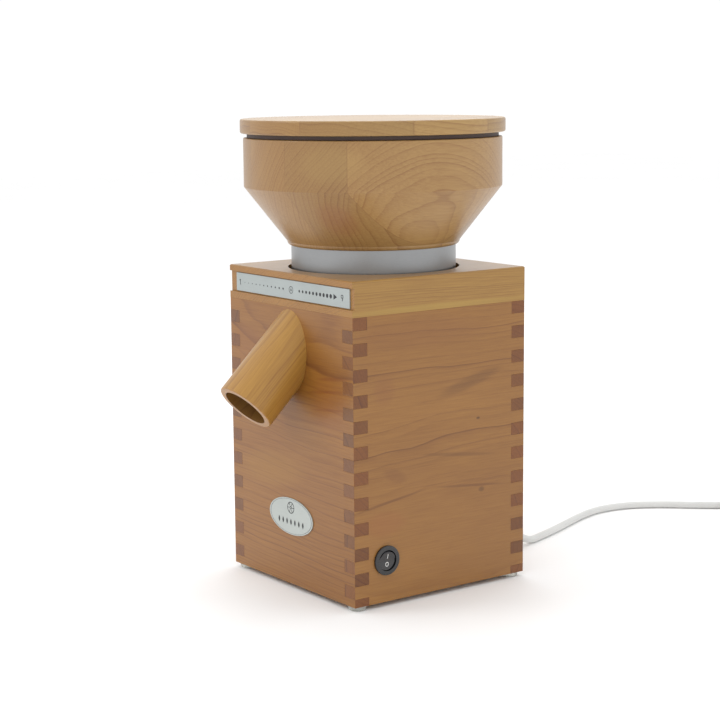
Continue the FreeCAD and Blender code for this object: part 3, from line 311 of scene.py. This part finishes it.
# Woods. The front and right panels have the photograph's stronger patches and knots about where they are there
ORANGE, BROWN, RED = srgb(150, 101, 38), srgb(122, 75, 28), srgb(94, 50, 20)
# The first dark brown here is used for the knots and for the painted shade inside the spout's bore
KNOT_AND_SHADE_BROWN, PINK, TAN = srgb(81, 48, 18), srgb(141, 89, 39), srgb(156, 112, 41)
SIDE_LIGHT, SIDE_DARK = srgb(155, 108, 48), srgb(126, 81, 36)
SIDE_STREAK, FRONT_STREAK = srgb(105, 61, 26), srgb(113, 55, 20)
END_GRAIN = (0.62, 0.5, 0.46)
front_zones = (
    ((-0.062, FRONT, 0.2), (0.034, 0.03, 0.022), (0, 0, 0), PINK, 0.45),
    ((0.055, FRONT, 0.165), (0.034, 0.03, 0.03), (0, 0, 0), srgb(132, 75, 27), 0.4),
    ((0.06, FRONT, 0.186), (0.03, 0.03, 0.0022), (0, 0.1, 0), FRONT_STREAK, 0.5),
    ((0.05, FRONT, 0.174), (0.036, 0.03, 0.0018), (0, 0.12, 0), FRONT_STREAK, 0.45),
    ((0.055, FRONT, 0.16), (0.032, 0.03, 0.0014), (0, 0.1, 0), FRONT_STREAK, 0.4),
    ((-0.03, FRONT, 0.1), (0.06, 0.03, 0.02), (0, 0.1, 0), TAN, 0.4),
)
front_wood = wood(
    "front_panel_wood", ORANGE, BROWN, RED, "X", pith=(0.0, -0.05, -0.235), tilt=(0.02, 0.04),
    ring=0.0032, end=END_GRAIN, fingers=3.0, zones=front_zones,
)
back_wood = wood(
    "back_panel_wood", ORANGE, BROWN, RED, "X", pith=(0.2, 0.03, -0.05), tilt=(-0.05, 0.04), ring=0.0042,
    end=END_GRAIN, fingers=3.0,
)
side_zones = (
    ((HALF_WIDTH, 0.034, 0.175), (0.03, 0.042, 0.007), (-0.25, 0, 0), srgb(103, 65, 28), 0.5),
    ((HALF_WIDTH, -0.055, 0.178), (0.03, 0.014, 0.016), (0, 0, 0), srgb(133, 83, 42), 0.4),
    ((HALF_WIDTH, 0.042, 0.144), (0.03, 0.0026, 0.0013), (0, 0, 0), KNOT_AND_SHADE_BROWN, 0.9),
    ((HALF_WIDTH, -0.02, 0.221), (0.03, 0.09, 0.016), (0, 0, 0), srgb(133, 85, 44), 0.4),
    ((HALF_WIDTH, 0.02, 0.117), (0.03, 0.05, 0.0022), (0.12, 0, 0), srgb(110, 69, 30), 0.55),
    ((HALF_WIDTH, -0.045, 0.108), (0.03, 0.016, 0.007), (0.4, 0, 0), srgb(117, 72, 34), 0.4),
    ((HALF_WIDTH, -0.052, 0.086), (0.03, 0.046, 0.0016), (-0.14, 0, 0), SIDE_STREAK, 0.65),
    ((HALF_WIDTH, 0.036, 0.088), (0.03, 0.046, 0.0016), (0.1, 0, 0), SIDE_STREAK, 0.6),
    ((HALF_WIDTH, 0.046, 0.083), (0.03, 0.004, 0.003), (0, 0, 0), KNOT_AND_SHADE_BROWN, 0.6),
    ((HALF_WIDTH, -0.056, 0.068), (0.03, 0.026, 0.014), (0, 0, 0), srgb(146, 87, 44), 0.4),
)
right_wood = wood(
    "right_panel_wood", SIDE_LIGHT, SIDE_DARK, RED, "Y", pith=(0.3, -0.1, -0.045), tilt=(0.012, 0.02),
    ring=0.0048, end=END_GRAIN, fingers=11.0, zones=side_zones,
)
left_wood = wood(
    "left_panel_wood", SIDE_LIGHT, SIDE_DARK, RED, "Y", pith=(0.6, 0.1, -0.14), tilt=(0.02, 0.06),
    ring=0.0052, end=END_GRAIN, fingers=11.0,
)
board_zones = (
    ((HALF_WIDTH, 0.0, 0.2415), (0.05, 0.12, 0.0035), (0, 0, 0), srgb(172, 140, 67), 0.6),
)
board_wood = wood(
    "top_board_wood", srgb(168, 128, 62), srgb(138, 98, 45), srgb(116, 76, 34), "Y", pith=(0.2, 0.3, 0.25),
    tilt=(0.01, 0.02), ring=0.0021, blotch=0.2, end=(0.92, 0.8, 0.66), zones=board_zones,
)
block_wood = wood(
    "corner_block_wood", srgb(190, 152, 100), srgb(160, 118, 72), srgb(130, 86, 50), "Z", ring=0.003,
)
# The spout's grain and bore run down its slope from where its axis meets the front face
SPOUT_SLOPE = math.radians(44)
SPOUT_HEIGHT = 0.2017
SPOUT_BORE_RADIUS = 0.0197
SPOUT_DEEP = SPOUT_HEIGHT * math.cos(SPOUT_SLOPE) - FRONT * math.sin(SPOUT_SLOPE)
spout_wood = wood(
    "spout_wood", srgb(180, 135, 60), srgb(150, 104, 45), srgb(125, 78, 37),
    turn=(-SPOUT_SLOPE, 0, math.pi / 2), pith=(0.1, 0.22, 0.16), tilt=(0.01, 0.01), ring=0.0022, blotch=0.3,
    streak=0.75, end=(0.86, 0.78, 0.7), line_depth=0.3, bore=(0.0, SPOUT_DEEP, SPOUT_BORE_RADIUS),
)
bowl_zones = (
    ((0.052, -0.075, 0.312), (0.02, 0.03, 0.02), (0, 0, 0), srgb(149, 97, 65), 0.45),
    ((0.06, -0.08, 0.355), (0.03, 0.05, 0.02), (0, 0, 0), srgb(178, 148, 91), 0.4),
)
bowl_wood = wood(
    "bowl_wood", srgb(169, 134, 82), srgb(140, 101, 59), srgb(118, 78, 46), "Y", pith=(0.1, 0.27, -0.2),
    tilt=(0.02, 0.05), ring=0.0032, boards=("X", 0.0488, -0.0244), blotch=0.22, end=(0.88, 0.83, 0.78),
    zones=bowl_zones, line_depth=0.4,
)
lid_wood = wood(
    "lid_wood", srgb(173, 139, 84), srgb(145, 109, 62), srgb(123, 83, 48), "Y", pith=(0.1, 0.02, -0.05),
    tilt=(0.05, 0.06), ring=0.0036, boards=("X", 0.062, -0.02), blotch=0.22, end=(0.84, 0.76, 0.7),
    line_depth=0.4,
)

# Metals and plastics
finishes = {
    "scale_plate": metal("plate_aluminium", srgb(178, 184, 183), 0.55, (0.05, 1.0, 1.0), 2200.0),
    "badge_plate": metal("badge_aluminium", srgb(190, 195, 192), 0.55, (0.05, 1.0, 1.0), 2200.0),
    "grinding_chamber": metal("cast_aluminium", srgb(176, 177, 178), 0.5, (1.0, 1.0, 1.0), 500.0, 0.4),
    "adjusting_ring": metal("ring_aluminium", srgb(152, 153, 154), 0.36, (1.0, 1.0, 12.0), 300.0, 0.05),
    "upper_end_shield": metal("shield_aluminium", srgb(170, 171, 172), 0.5, (1.0, 1.0, 1.0), 500.0, 0.4),
    "motor_shaft": metal("shaft_steel", srgb(190, 190, 192), 0.25, (1.0, 1.0, 15.0), 400.0, 0.05),
    "upper_bearing": metal("bearing_steel", srgb(200, 200, 204), 0.2, (1.0, 1.0, 15.0), 400.0, 0.05),
    "floor_screws": metal("zinc_screw_steel", srgb(196, 190, 172), 0.3, (1.0, 1.0, 1.0), 900.0, 0.08),
    "chamber_bolts": metal("bolt_steel", srgb(184, 184, 186), 0.3, (1.0, 1.0, 1.0), 900.0, 0.08),
    "plug_pins": metal("nickel_pins", srgb(206, 202, 194), 0.22, (1.0, 8.0, 1.0), 600.0, 0.05),
    "terminal_screws": metal("brass_screws", srgb(196, 160, 88), 0.3, (1.0, 1.0, 1.0), 900.0, 0.08),
    "stator_stack": banded("core_sheets", srgb(120, 122, 126), srgb(58, 60, 64), "Z", 0.0008, 0.4, 0.9),
    "stator_windings": banded("copper_wire", srgb(196, 112, 62), srgb(108, 52, 26), "X", 0.0011, 0.35, 0.9),
    "lower_stone": speckled("lower_grindstone", srgb(168, 158, 142), srgb(96, 88, 78), 700.0, 0.9),
    "upper_stone": speckled("upper_grindstone", srgb(172, 162, 146), srgb(100, 92, 82), 700.0, 0.9),
    "floor_plate": plastic("powder_coat", srgb(64, 64, 66), 0.55, 900.0, 0.35, 0.08),
    "feet": plastic("clear_feet", srgb(222, 222, 214), 0.25, 900.0, 0.05, 0.03, 0.2, 0.55),
    "shaft_seal": plastic("seal_felt", srgb(210, 206, 196), 0.95, 2500.0, 0.6, 0.1),
    "lug_buffers": plastic("buffer_rubber", srgb(42, 42, 44), 0.7),
    "lid_gasket": plastic("gasket_rubber", srgb(74, 58, 52), 0.6),
    "lower_stone_carrier": metal("carrier_aluminium", srgb(182, 183, 184), 0.45, (1.0, 1.0, 1.0), 500.0, 0.3),
    "upper_stone_carrier": plastic("carrier_plastic", srgb(206, 204, 198), 0.45),
    "feed_tube": plastic("tube_plastic", srgb(206, 204, 198), 0.4),
    "cooling_fan": plastic("fan_plastic", srgb(58, 58, 60), 0.45),
    "capacitor": plastic("capacitor_plastic", srgb(222, 222, 218), 0.35),
    "terminal_block": plastic("terminal_plastic", srgb(228, 226, 216), 0.4),
    "thermal_cutout": plastic("cutout_case", srgb(60, 56, 54), 0.4),
    "switch_body": plastic("switch_black", srgb(20, 21, 25), 0.22, 1500.0, 0.03, 0.06, 0.5),
    "switch_rocker": plastic("rocker_black", srgb(26, 27, 31), 0.2, 1500.0, 0.03, 0.06, 0.6),
    "cord_gland": plastic("gland_rubber", srgb(206, 206, 202), 0.55),
    "mains_cord": plastic("cord_jacket", srgb(214, 215, 213), 0.5, 700.0, 0.08),
    "coil_tie": plastic("tie_plastic", srgb(44, 44, 46), 0.5),
    "plug_body": plastic("plug_plastic", srgb(210, 211, 208), 0.42, 900.0, 0.1),
}
# Nodes of the same stuff as another
same_finish = {
    "lower_end_shield": "upper_end_shield", "lower_bearing": "upper_bearing", "tie_bolts": "chamber_bolts",
    "clip_screw": "floor_screws", "capacitor_clip": "chamber_bolts", "stone_screw": "chamber_bolts",
    "stone_washer": "chamber_bolts", "ring_screws": "chamber_bolts", "switch_nut": "terminal_block",
    "switch_blades": "terminal_screws", "rotor_core": "stator_stack", "cord_coil": "mains_cord",
}
for node, other in same_finish.items():
    finishes[node] = finishes[other]
finishes.update({
    "front_panel": front_wood, "back_panel": back_wood, "left_panel": left_wood, "right_panel": right_wood,
    "top_board": board_wood, "corner_blocks": block_wood, "spout": spout_wood, "hopper_bowl": bowl_wood,
    "lid": lid_wood,
})


def finish(piece, material):
    piece.data.materials.clear()
    piece.data.materials.append(material)


for node, piece in nodes.items():
    finish(piece, finishes[node])


def link(name, mesh, body, *replaced):
    """A new piece that rides on a body and stands for the nodes named."""
    piece = bpy.data.objects.new(name, mesh)
    scene.collection.objects.link(piece)
    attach(piece, body)
    if replaced:
        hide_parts(*replaced)
    return piece


def rounded(outline, steps=4):
    """The closed outline of (radius, height, round) corners, in mm, with each corner drawn as an arc."""
    points = []
    for k, (radius, height, size) in enumerate(outline):
        corner = Vector((radius, height))
        before = Vector(outline[k - 1][:2]) - corner
        after = Vector(outline[(k + 1) % len(outline)][:2]) - corner
        if not size:
            points.append(corner)
            continue
        half = before.angle(after) / 2
        reach = size / math.tan(half)
        middle = corner + (before.normalized() + after.normalized()).normalized() * (size / math.sin(half))
        start = corner + before.normalized() * reach - middle
        swing = start.angle_signed(corner + after.normalized() * reach - middle)
        for step in range(steps + 1):
            points.append(middle + Matrix.Rotation(-swing * step / steps, 2) @ start)
    return points


def turned(name, outline, body, *replaced, segments=288):
    """A piece turned about the mill axis, smooth all round."""
    points = rounded(outline)
    grid = []
    for k in range(segments):
        angle = 2 * math.pi * k / segments
        grid += [(p.x * math.cos(angle) / 1000, p.x * math.sin(angle) / 1000, p.y / 1000) for p in points]
    count = len(points)
    faces = []
    for k in range(segments):
        for j in range(count):
            low, high = k * count, (k + 1) % segments * count
            faces.append((low + j, high + j, high + (j + 1) % count, low + (j + 1) % count))
    mesh = bpy.data.meshes.new(name)
    mesh.from_pydata(grid, [], faces)
    tidy(mesh, 32)
    piece = link(name, mesh, body, *replaced)
    piece.modifiers.new("weighted_normals", "WEIGHTED_NORMAL").keep_sharp = True
    return piece


def tidy(mesh, sharp):
    """Joins doubled points, turns faces outwards and shades smooth below the angle given."""
    work = bmesh.new()
    work.from_mesh(mesh)
    bmesh.ops.remove_doubles(work, verts=work.verts, dist=1e-6)
    bmesh.ops.dissolve_degenerate(work, edges=work.edges, dist=1e-7)
    bmesh.ops.recalc_face_normals(work, faces=work.faces)
    work.to_mesh(mesh)
    work.free()
    mesh.shade_smooth()
    mesh.set_sharp_from_angle(angle=math.radians(sharp))


EDGE_EASE = 0.00022


def eased_panel(node):
    """A copy of a housing panel with its sharp edges eased."""
    source = nodes[node]
    mesh = source.data.copy()
    mesh.transform(source.matrix_world)
    if "custom_normal" in mesh.attributes:
        mesh.attributes.remove(mesh.attributes["custom_normal"])
    work = bmesh.new()
    work.from_mesh(mesh)
    bmesh.ops.remove_doubles(work, verts=work.verts, dist=2e-6)
    bmesh.ops.dissolve_limit(work, angle_limit=math.radians(0.5), verts=work.verts, edges=work.edges)
    folds = [edge for edge in work.edges if len(edge.link_faces) == 2]
    sharp = [edge for edge in folds if edge.calc_face_angle(0) > math.radians(40)]
    bmesh.ops.bevel(
        work, geom=sharp, offset=EDGE_EASE, offset_type="OFFSET", segments=2, profile=0.5, affect="EDGES",
        clamp_overlap=True,
    )
    bmesh.ops.triangulate(work, faces=[face for face in work.faces if len(face.verts) > 4])
    work.to_mesh(mesh)
    work.free()
    mesh.shade_smooth()
    mesh.set_sharp_from_angle(angle=math.radians(50))
    piece = link(node + "_eased", mesh, "housing", node)
    piece.modifiers.new("weighted_normals", "WEIGHTED_NORMAL").keep_sharp = True
    finish(piece, finishes[node])


for node in ("front_panel", "back_panel", "left_panel", "right_panel"):
    eased_panel(node)

# Bowl, lid and gasket, in mm as in the part's source
BOWL_RADIUS, BOWL_INSIDE, BOWL_RIM = 108.1, 101.1, 374.6
LID_RADIUS, LID_LOW, LID_TOP = 110.6, 378.25, 390.05
SPIGOT_RADIUS, SPIGOT_INSIDE, SPIGOT_LOW = 100.0, 93.0, 370.05
GASKET_RADIUS, GASKET_LOW = 105.0, 374.65
FOOT_LOW, BOWL_BASE, BOWL_SPIGOT, TUBE_SEAT = 285.2, 258.1, 59.9, 15.0
bowl = turned("turned_bowl", [
    (72.6, FOOT_LOW, 3.4), (72.6, 288.7, 0), (BOWL_RADIUS, 334.2, 0.8), (BOWL_RADIUS, BOWL_RIM, 1.0),
    (BOWL_INSIDE, BOWL_RIM, 0.8), (BOWL_INSIDE, 338.0, 2.0), (TUBE_SEAT, 288.2, 0.3), (TUBE_SEAT, BOWL_BASE, 0.3),
    (BOWL_SPIGOT, BOWL_BASE, 0.5), (BOWL_SPIGOT, FOOT_LOW, 0),
], "hopper", "hopper_bowl")
finish(bowl, bowl_wood)
lid = turned("turned_lid", [
    (0, LID_TOP, 0), (0, LID_LOW, 0), (SPIGOT_INSIDE, LID_LOW, 0), (SPIGOT_INSIDE, SPIGOT_LOW, 0.6),
    (SPIGOT_RADIUS, SPIGOT_LOW, 0.6), (SPIGOT_RADIUS, LID_LOW, 0), (LID_RADIUS, LID_LOW, 1.6),
    (LID_RADIUS, LID_TOP, 1.6),
], "lid", "lid")
finish(lid, lid_wood)
gasket = turned("turned_gasket", [
    (SPIGOT_RADIUS, GASKET_LOW, 0.6), (GASKET_RADIUS, GASKET_LOW, 0.6), (GASKET_RADIUS, LID_LOW, 0.4),
    (SPIGOT_RADIUS, LID_LOW, 0.4),
], "lid", "lid_gasket")
finish(gasket, finishes["lid_gasket"])


def disc(x, z, width, height, count=28):
    turns = [2 * math.pi * k / count for k in range(count)]
    return [[(x + width / 2 * math.cos(a), z + height / 2 * math.sin(a)) for a in turns]]


def hoop(x, z, outer, inner, squash=1.0, count=72):
    """A ring as a closed row of quads."""
    steps = [(math.cos(2 * math.pi * k / count), math.sin(2 * math.pi * k / count) * squash) for k in range(count)]
    quads = []
    for (c0, s0), (c1, s1) in zip(steps, steps[1:] + steps[:1]):
        corners = ((outer, c0, s0), (outer, c1, s1), (inner, c1, s1), (inner, c0, s0))
        quads.append([(x + r * c, z + r * s) for r, c, s in corners])
    return quads


def bar(start, end, width):
    start, end = Vector(start), Vector(end)
    along = (end - start).normalized() * width / 2
    side = Vector((-along.y, along.x))
    return [[tuple(start + side), tuple(end + side), tuple(end - side), tuple(start - side)]]


def grain_shape(x, z, width, height, count=10):
    """A seed with two pointed ends."""
    side = [(width / 2 * math.sin(math.pi * k / count), height * (k / count - 0.5)) for k in range(count + 1)]
    return [[(x + u, z + v) for u, v in side] + [(x - u, z + v) for u, v in side[-2:0:-1]]]


# Ink, in metres: how thick it is and how far it stands off the face under it
INK_THICKNESS, INK_LIFT = 0.00003, 0.00004


def printed(name, shapes, lay, body, material):
    """Ink laid on a surface: every shape is a polygon in mm, and lay puts its corners in place."""
    corners, faces = [], []
    for shape in shapes:
        faces.append(tuple(range(len(corners), len(corners) + len(shape))))
        corners += [lay(u / 1000, v / 1000) for u, v in shape]
    mesh = bpy.data.meshes.new(name)
    mesh.from_pydata(corners, [], faces)
    work = bmesh.new()
    work.from_mesh(mesh)
    bmesh.ops.remove_doubles(work, verts=work.verts, dist=1e-7)
    bmesh.ops.recalc_face_normals(work, faces=work.faces)
    bmesh.ops.solidify(work, geom=work.faces, thickness=INK_THICKNESS)
    bmesh.ops.recalc_face_normals(work, faces=work.faces)
    work.to_mesh(mesh)
    work.free()
    piece = link(name, mesh, body)
    finish(piece, material)


def flat_on(face):
    """Lays marks on an upright face at this y."""
    return lambda u, v: (u, face - INK_LIFT, v)


def on_rocker(u, v):
    """Lays marks on the rocker's curved face, found by a ray from outside."""
    hit = rocker_tree.ray_cast(Vector((0.2, u + SWITCH_Y, v + SWITCH_Z)), Vector((-1, 0, 0)))[0]
    return hit + Vector((INK_LIFT, 0, 0))


def scale_shapes(middle):
    """1, growing dots, a plain ring, larger dots, an arrowhead and 9, along the line at this height in mm."""
    shapes = bar((-74, middle - 2.4), (-74, middle + 2.4), 0.7)
    shapes += bar((-75.3, middle + 1.3), (-74, middle + 2.3), 0.6)
    for k in range(11):
        size = 0.7 + 0.11 * k
        shapes += disc(-67 + 5.8 * k, middle, size, size)
    shapes += hoop(2.5, middle, 3.0, 2.5) + hoop(2.5, middle, 1.1, 0.6)
    for k in range(10):
        size = 2.0 + 0.14 * k
        shapes += disc(14.5 + 4.9 * k, middle, size, size * 1.1)
    shapes.append([(62.4, middle + 2.3), (62.4, middle - 2.3), (67.2, middle)])
    return shapes + hoop(74, middle + 1.1, 1.6, 0.95) + bar((75.3, middle + 1.1), (74.2, middle - 2.4), 0.7)


def badge_shapes(middle, stone, seeds):
    """A thin oval line, a millstone with six spokes and a row of seeds, at these heights in mm."""
    shapes = hoop(0, middle, 30.2, 29.8, 31 / 63.6) + hoop(0, stone, 5.0, 4.3) + hoop(0, stone, 1.5, 0.8)
    for k in range(6):
        across, rise = math.cos(math.pi * k / 3), math.sin(math.pi * k / 3)
        start, end = (2.1 * across, stone + 2.1 * rise), (4.5 * across, stone + 4.5 * rise)
        shapes += bar(start, end, 0.55)
    for k in range(7):
        shapes += grain_shape(-17.4 + 5.8 * k, seeds, 2.3, 5.6)
    return shapes


ink = plastic("printed_ink", srgb(44, 45, 48), 0.6, 3000.0, 0.05)
white_ink = plastic("printed_white", srgb(206, 206, 204), 0.6, 3000.0, 0.05)
# The faces of the scale plate and the badge, and the switch's axis, in metres
SCALE_FACE, BADGE_FACE = -0.0862, -0.0880
SWITCH_Y, SWITCH_Z = -0.0557, 0.0387
rocker = nodes["switch_rocker"]
rocker_tree = BVHTree.FromPolygons(
    [rocker.matrix_world @ v.co for v in rocker.data.vertices], [tuple(p.vertices) for p in rocker.data.polygons],
)
on_off_shapes = bar((0, 1.5), (0, 5.6), 0.65) + hoop(0, -3.3, 1.75, 1.1, 1.1)
printed("scale_marks", scale_shapes(252.5), flat_on(SCALE_FACE), "housing", ink)
printed("badge_marks", badge_shapes(62.4, 69.8, 57.6), flat_on(BADGE_FACE), "housing", ink)
printed("rocker_marks", on_off_shapes, on_rocker, "rocker", white_ink)

# Mains cord, in mm: the route of the part's source, then the turns of the coil
CORD_DIAMETER = 6.6
CORD_REST = 3.4
CORD_EXIT = (20, 120.8, 20)
route = [
    CORD_EXIT, (19.5, 141, 15.5), (16, 162, CORD_REST), (9, 184, CORD_REST), (1, 206, CORD_REST),
    (-10, 233, CORD_REST), (-22.5, 262, CORD_REST), (-32, 294, CORD_REST), (-28, 328, CORD_REST),
    (-11, 355.5, CORD_REST), (20.5, 389.5, CORD_REST), (48, 424.7, CORD_REST),
]
COIL = (89.4, 413.0)
INNER, OUTER = 32.7, 39.3
COIL_START, COIL_TURNED, COIL_STEP = 142.8, 1950, 15
PLUG_LINE_X, PLUG_LINE_Z = 125.4, 18.6


def eased(value, start, end):
    """0 before start, 1 after end, smooth between."""
    t = min(1.0, max(0.0, (value - start) / (end - start)))
    return t * t * (3 - 2 * t)


def coil_point(turned_by):
    """A point of the winding after so many degrees: in and out and up a layer by turns, then up to the plug."""
    gap = OUTER - INNER
    radius = OUTER - gap * eased(turned_by, 270, 324) + gap * eased(turned_by, 917, 971)
    radius += -gap * eased(turned_by, 1255, 1310) + gap * eased(turned_by, 1600, 1650)
    # A slight dip before the last move outwards, and a swing in to the plug's line
    radius -= 2.4 * math.exp(-(((turned_by - 1583) / 24) ** 2)) + 3.3 * eased(turned_by, 1905, 1943)
    height = CORD_REST + CORD_DIAMETER * eased(turned_by, 594, 648) + CORD_DIAMETER * eased(turned_by, 1225, 1265)
    height += 2.0 * eased(turned_by, 1900, 1943)
    angle = math.radians(COIL_START - turned_by)
    return (COIL[0] + radius * math.cos(angle), COIL[1] + radius * math.sin(angle), height)


cord_points = route + [coil_point(degrees) for degrees in range(0, COIL_TURNED, COIL_STEP)]
cord_points += [(PLUG_LINE_X, 406.0, PLUG_LINE_Z), (PLUG_LINE_X, 392.2, PLUG_LINE_Z)]
cord_curve = bpy.data.curves.new("mains_lead", "CURVE")
cord_curve.dimensions = "3D"
# The points carry the radius, so the curve's own box holds no more than the cord
cord_curve.bevel_depth = 1.0
cord_curve.bevel_resolution = 7
cord_curve.resolution_u = 8
cord_curve.use_fill_caps = True
spline = cord_curve.splines.new("NURBS")
spline.points.add(len(cord_points) - 1)
for point, (x, y, z) in zip(spline.points, cord_points):
    point.co = (x / 1000, y / 1000, z / 1000, 1.0)
    point.radius = CORD_DIAMETER / 2000
spline.order_u = 3
spline.use_endpoint_u = True
cord = link("mains_lead", cord_curve, "housing", "mains_cord", "cord_coil")
finish(cord, finishes["mains_cord"])

# Camera at the photograph's angle
camera_data = bpy.data.cameras.new("camera")
camera_data.lens = 88.58
camera_data.sensor_width = 36.0
camera_data.sensor_fit = "HORIZONTAL"
camera_data.clip_end = 50.0
camera = bpy.data.objects.new("camera", camera_data)
scene.collection.objects.link(camera)
turn, lift, roll = math.radians(53.806), math.radians(9.0776), math.radians(0.5125)
right = Vector((math.cos(turn), math.sin(turn), 0))
back = Vector((math.sin(turn) * math.cos(lift), -math.cos(turn) * math.cos(lift), math.sin(lift)))
up = back.cross(right)
rolled_right = math.cos(roll) * right - math.sin(roll) * up
rolled_up = math.sin(roll) * right + math.cos(roll) * up
seat = Matrix((rolled_right, rolled_up, back)).transposed().to_4x4()
seat.translation = (1.195248, -0.889766, 0.423653)
camera.matrix_world = seat
scene.camera = camera

# Floor, light and surroundings
floor_mesh = bpy.data.meshes.new("floor")
floor_mesh.from_pydata([(-6, -6, 0), (6, -6, 0), (6, 6, 0), (-6, 6, 0)], [], [(0, 1, 2, 3)])
floor = bpy.data.objects.new("floor", floor_mesh)
scene.collection.objects.link(floor)
paper = Shader("white_paper")
paper_tone = paper.noise(paper.place, 3.0, 2.0)
paper.set(Base_Color=paper.ramp(paper_tone, [(0.3, 0.965), (0.7, 0.98)]), Roughness=0.9)
finish(floor, paper.material)


def soft_light(name, location, target, size, power):
    data = bpy.data.lights.new(name, "AREA")
    data.shape = "RECTANGLE"
    data.size, data.size_y = size
    data.energy = power
    lamp = bpy.data.objects.new(name, data)
    scene.collection.objects.link(lamp)
    lamp.location = location
    lamp.rotation_euler = (Vector(target) - Vector(location)).to_track_quat("-Z", "Y").to_euler()


soft_light("overhead", (-0.2, 0.2, 1.8), (0, 0, 0.2), (1.0, 1.0), 6)
soft_light("back", (-1.5, 1.1, 1.3), (0, 0, 0.3), (0.9, 0.9), 3.2)
soft_light("key", (-0.9, -1.6, 1.5), (0, 0, 0.2), (0.8, 0.8), 8)
world = bpy.data.worlds.new("studio")
world.use_nodes = True
sky = world.node_tree.nodes["Background"]
sky.inputs["Color"].default_value = (1.0, 1.0, 1.0, 1.0)
sky.inputs["Strength"].default_value = 1.03
scene.world = world
scene.view_settings.view_transform = "Standard"
bpy.context.view_layer.update()
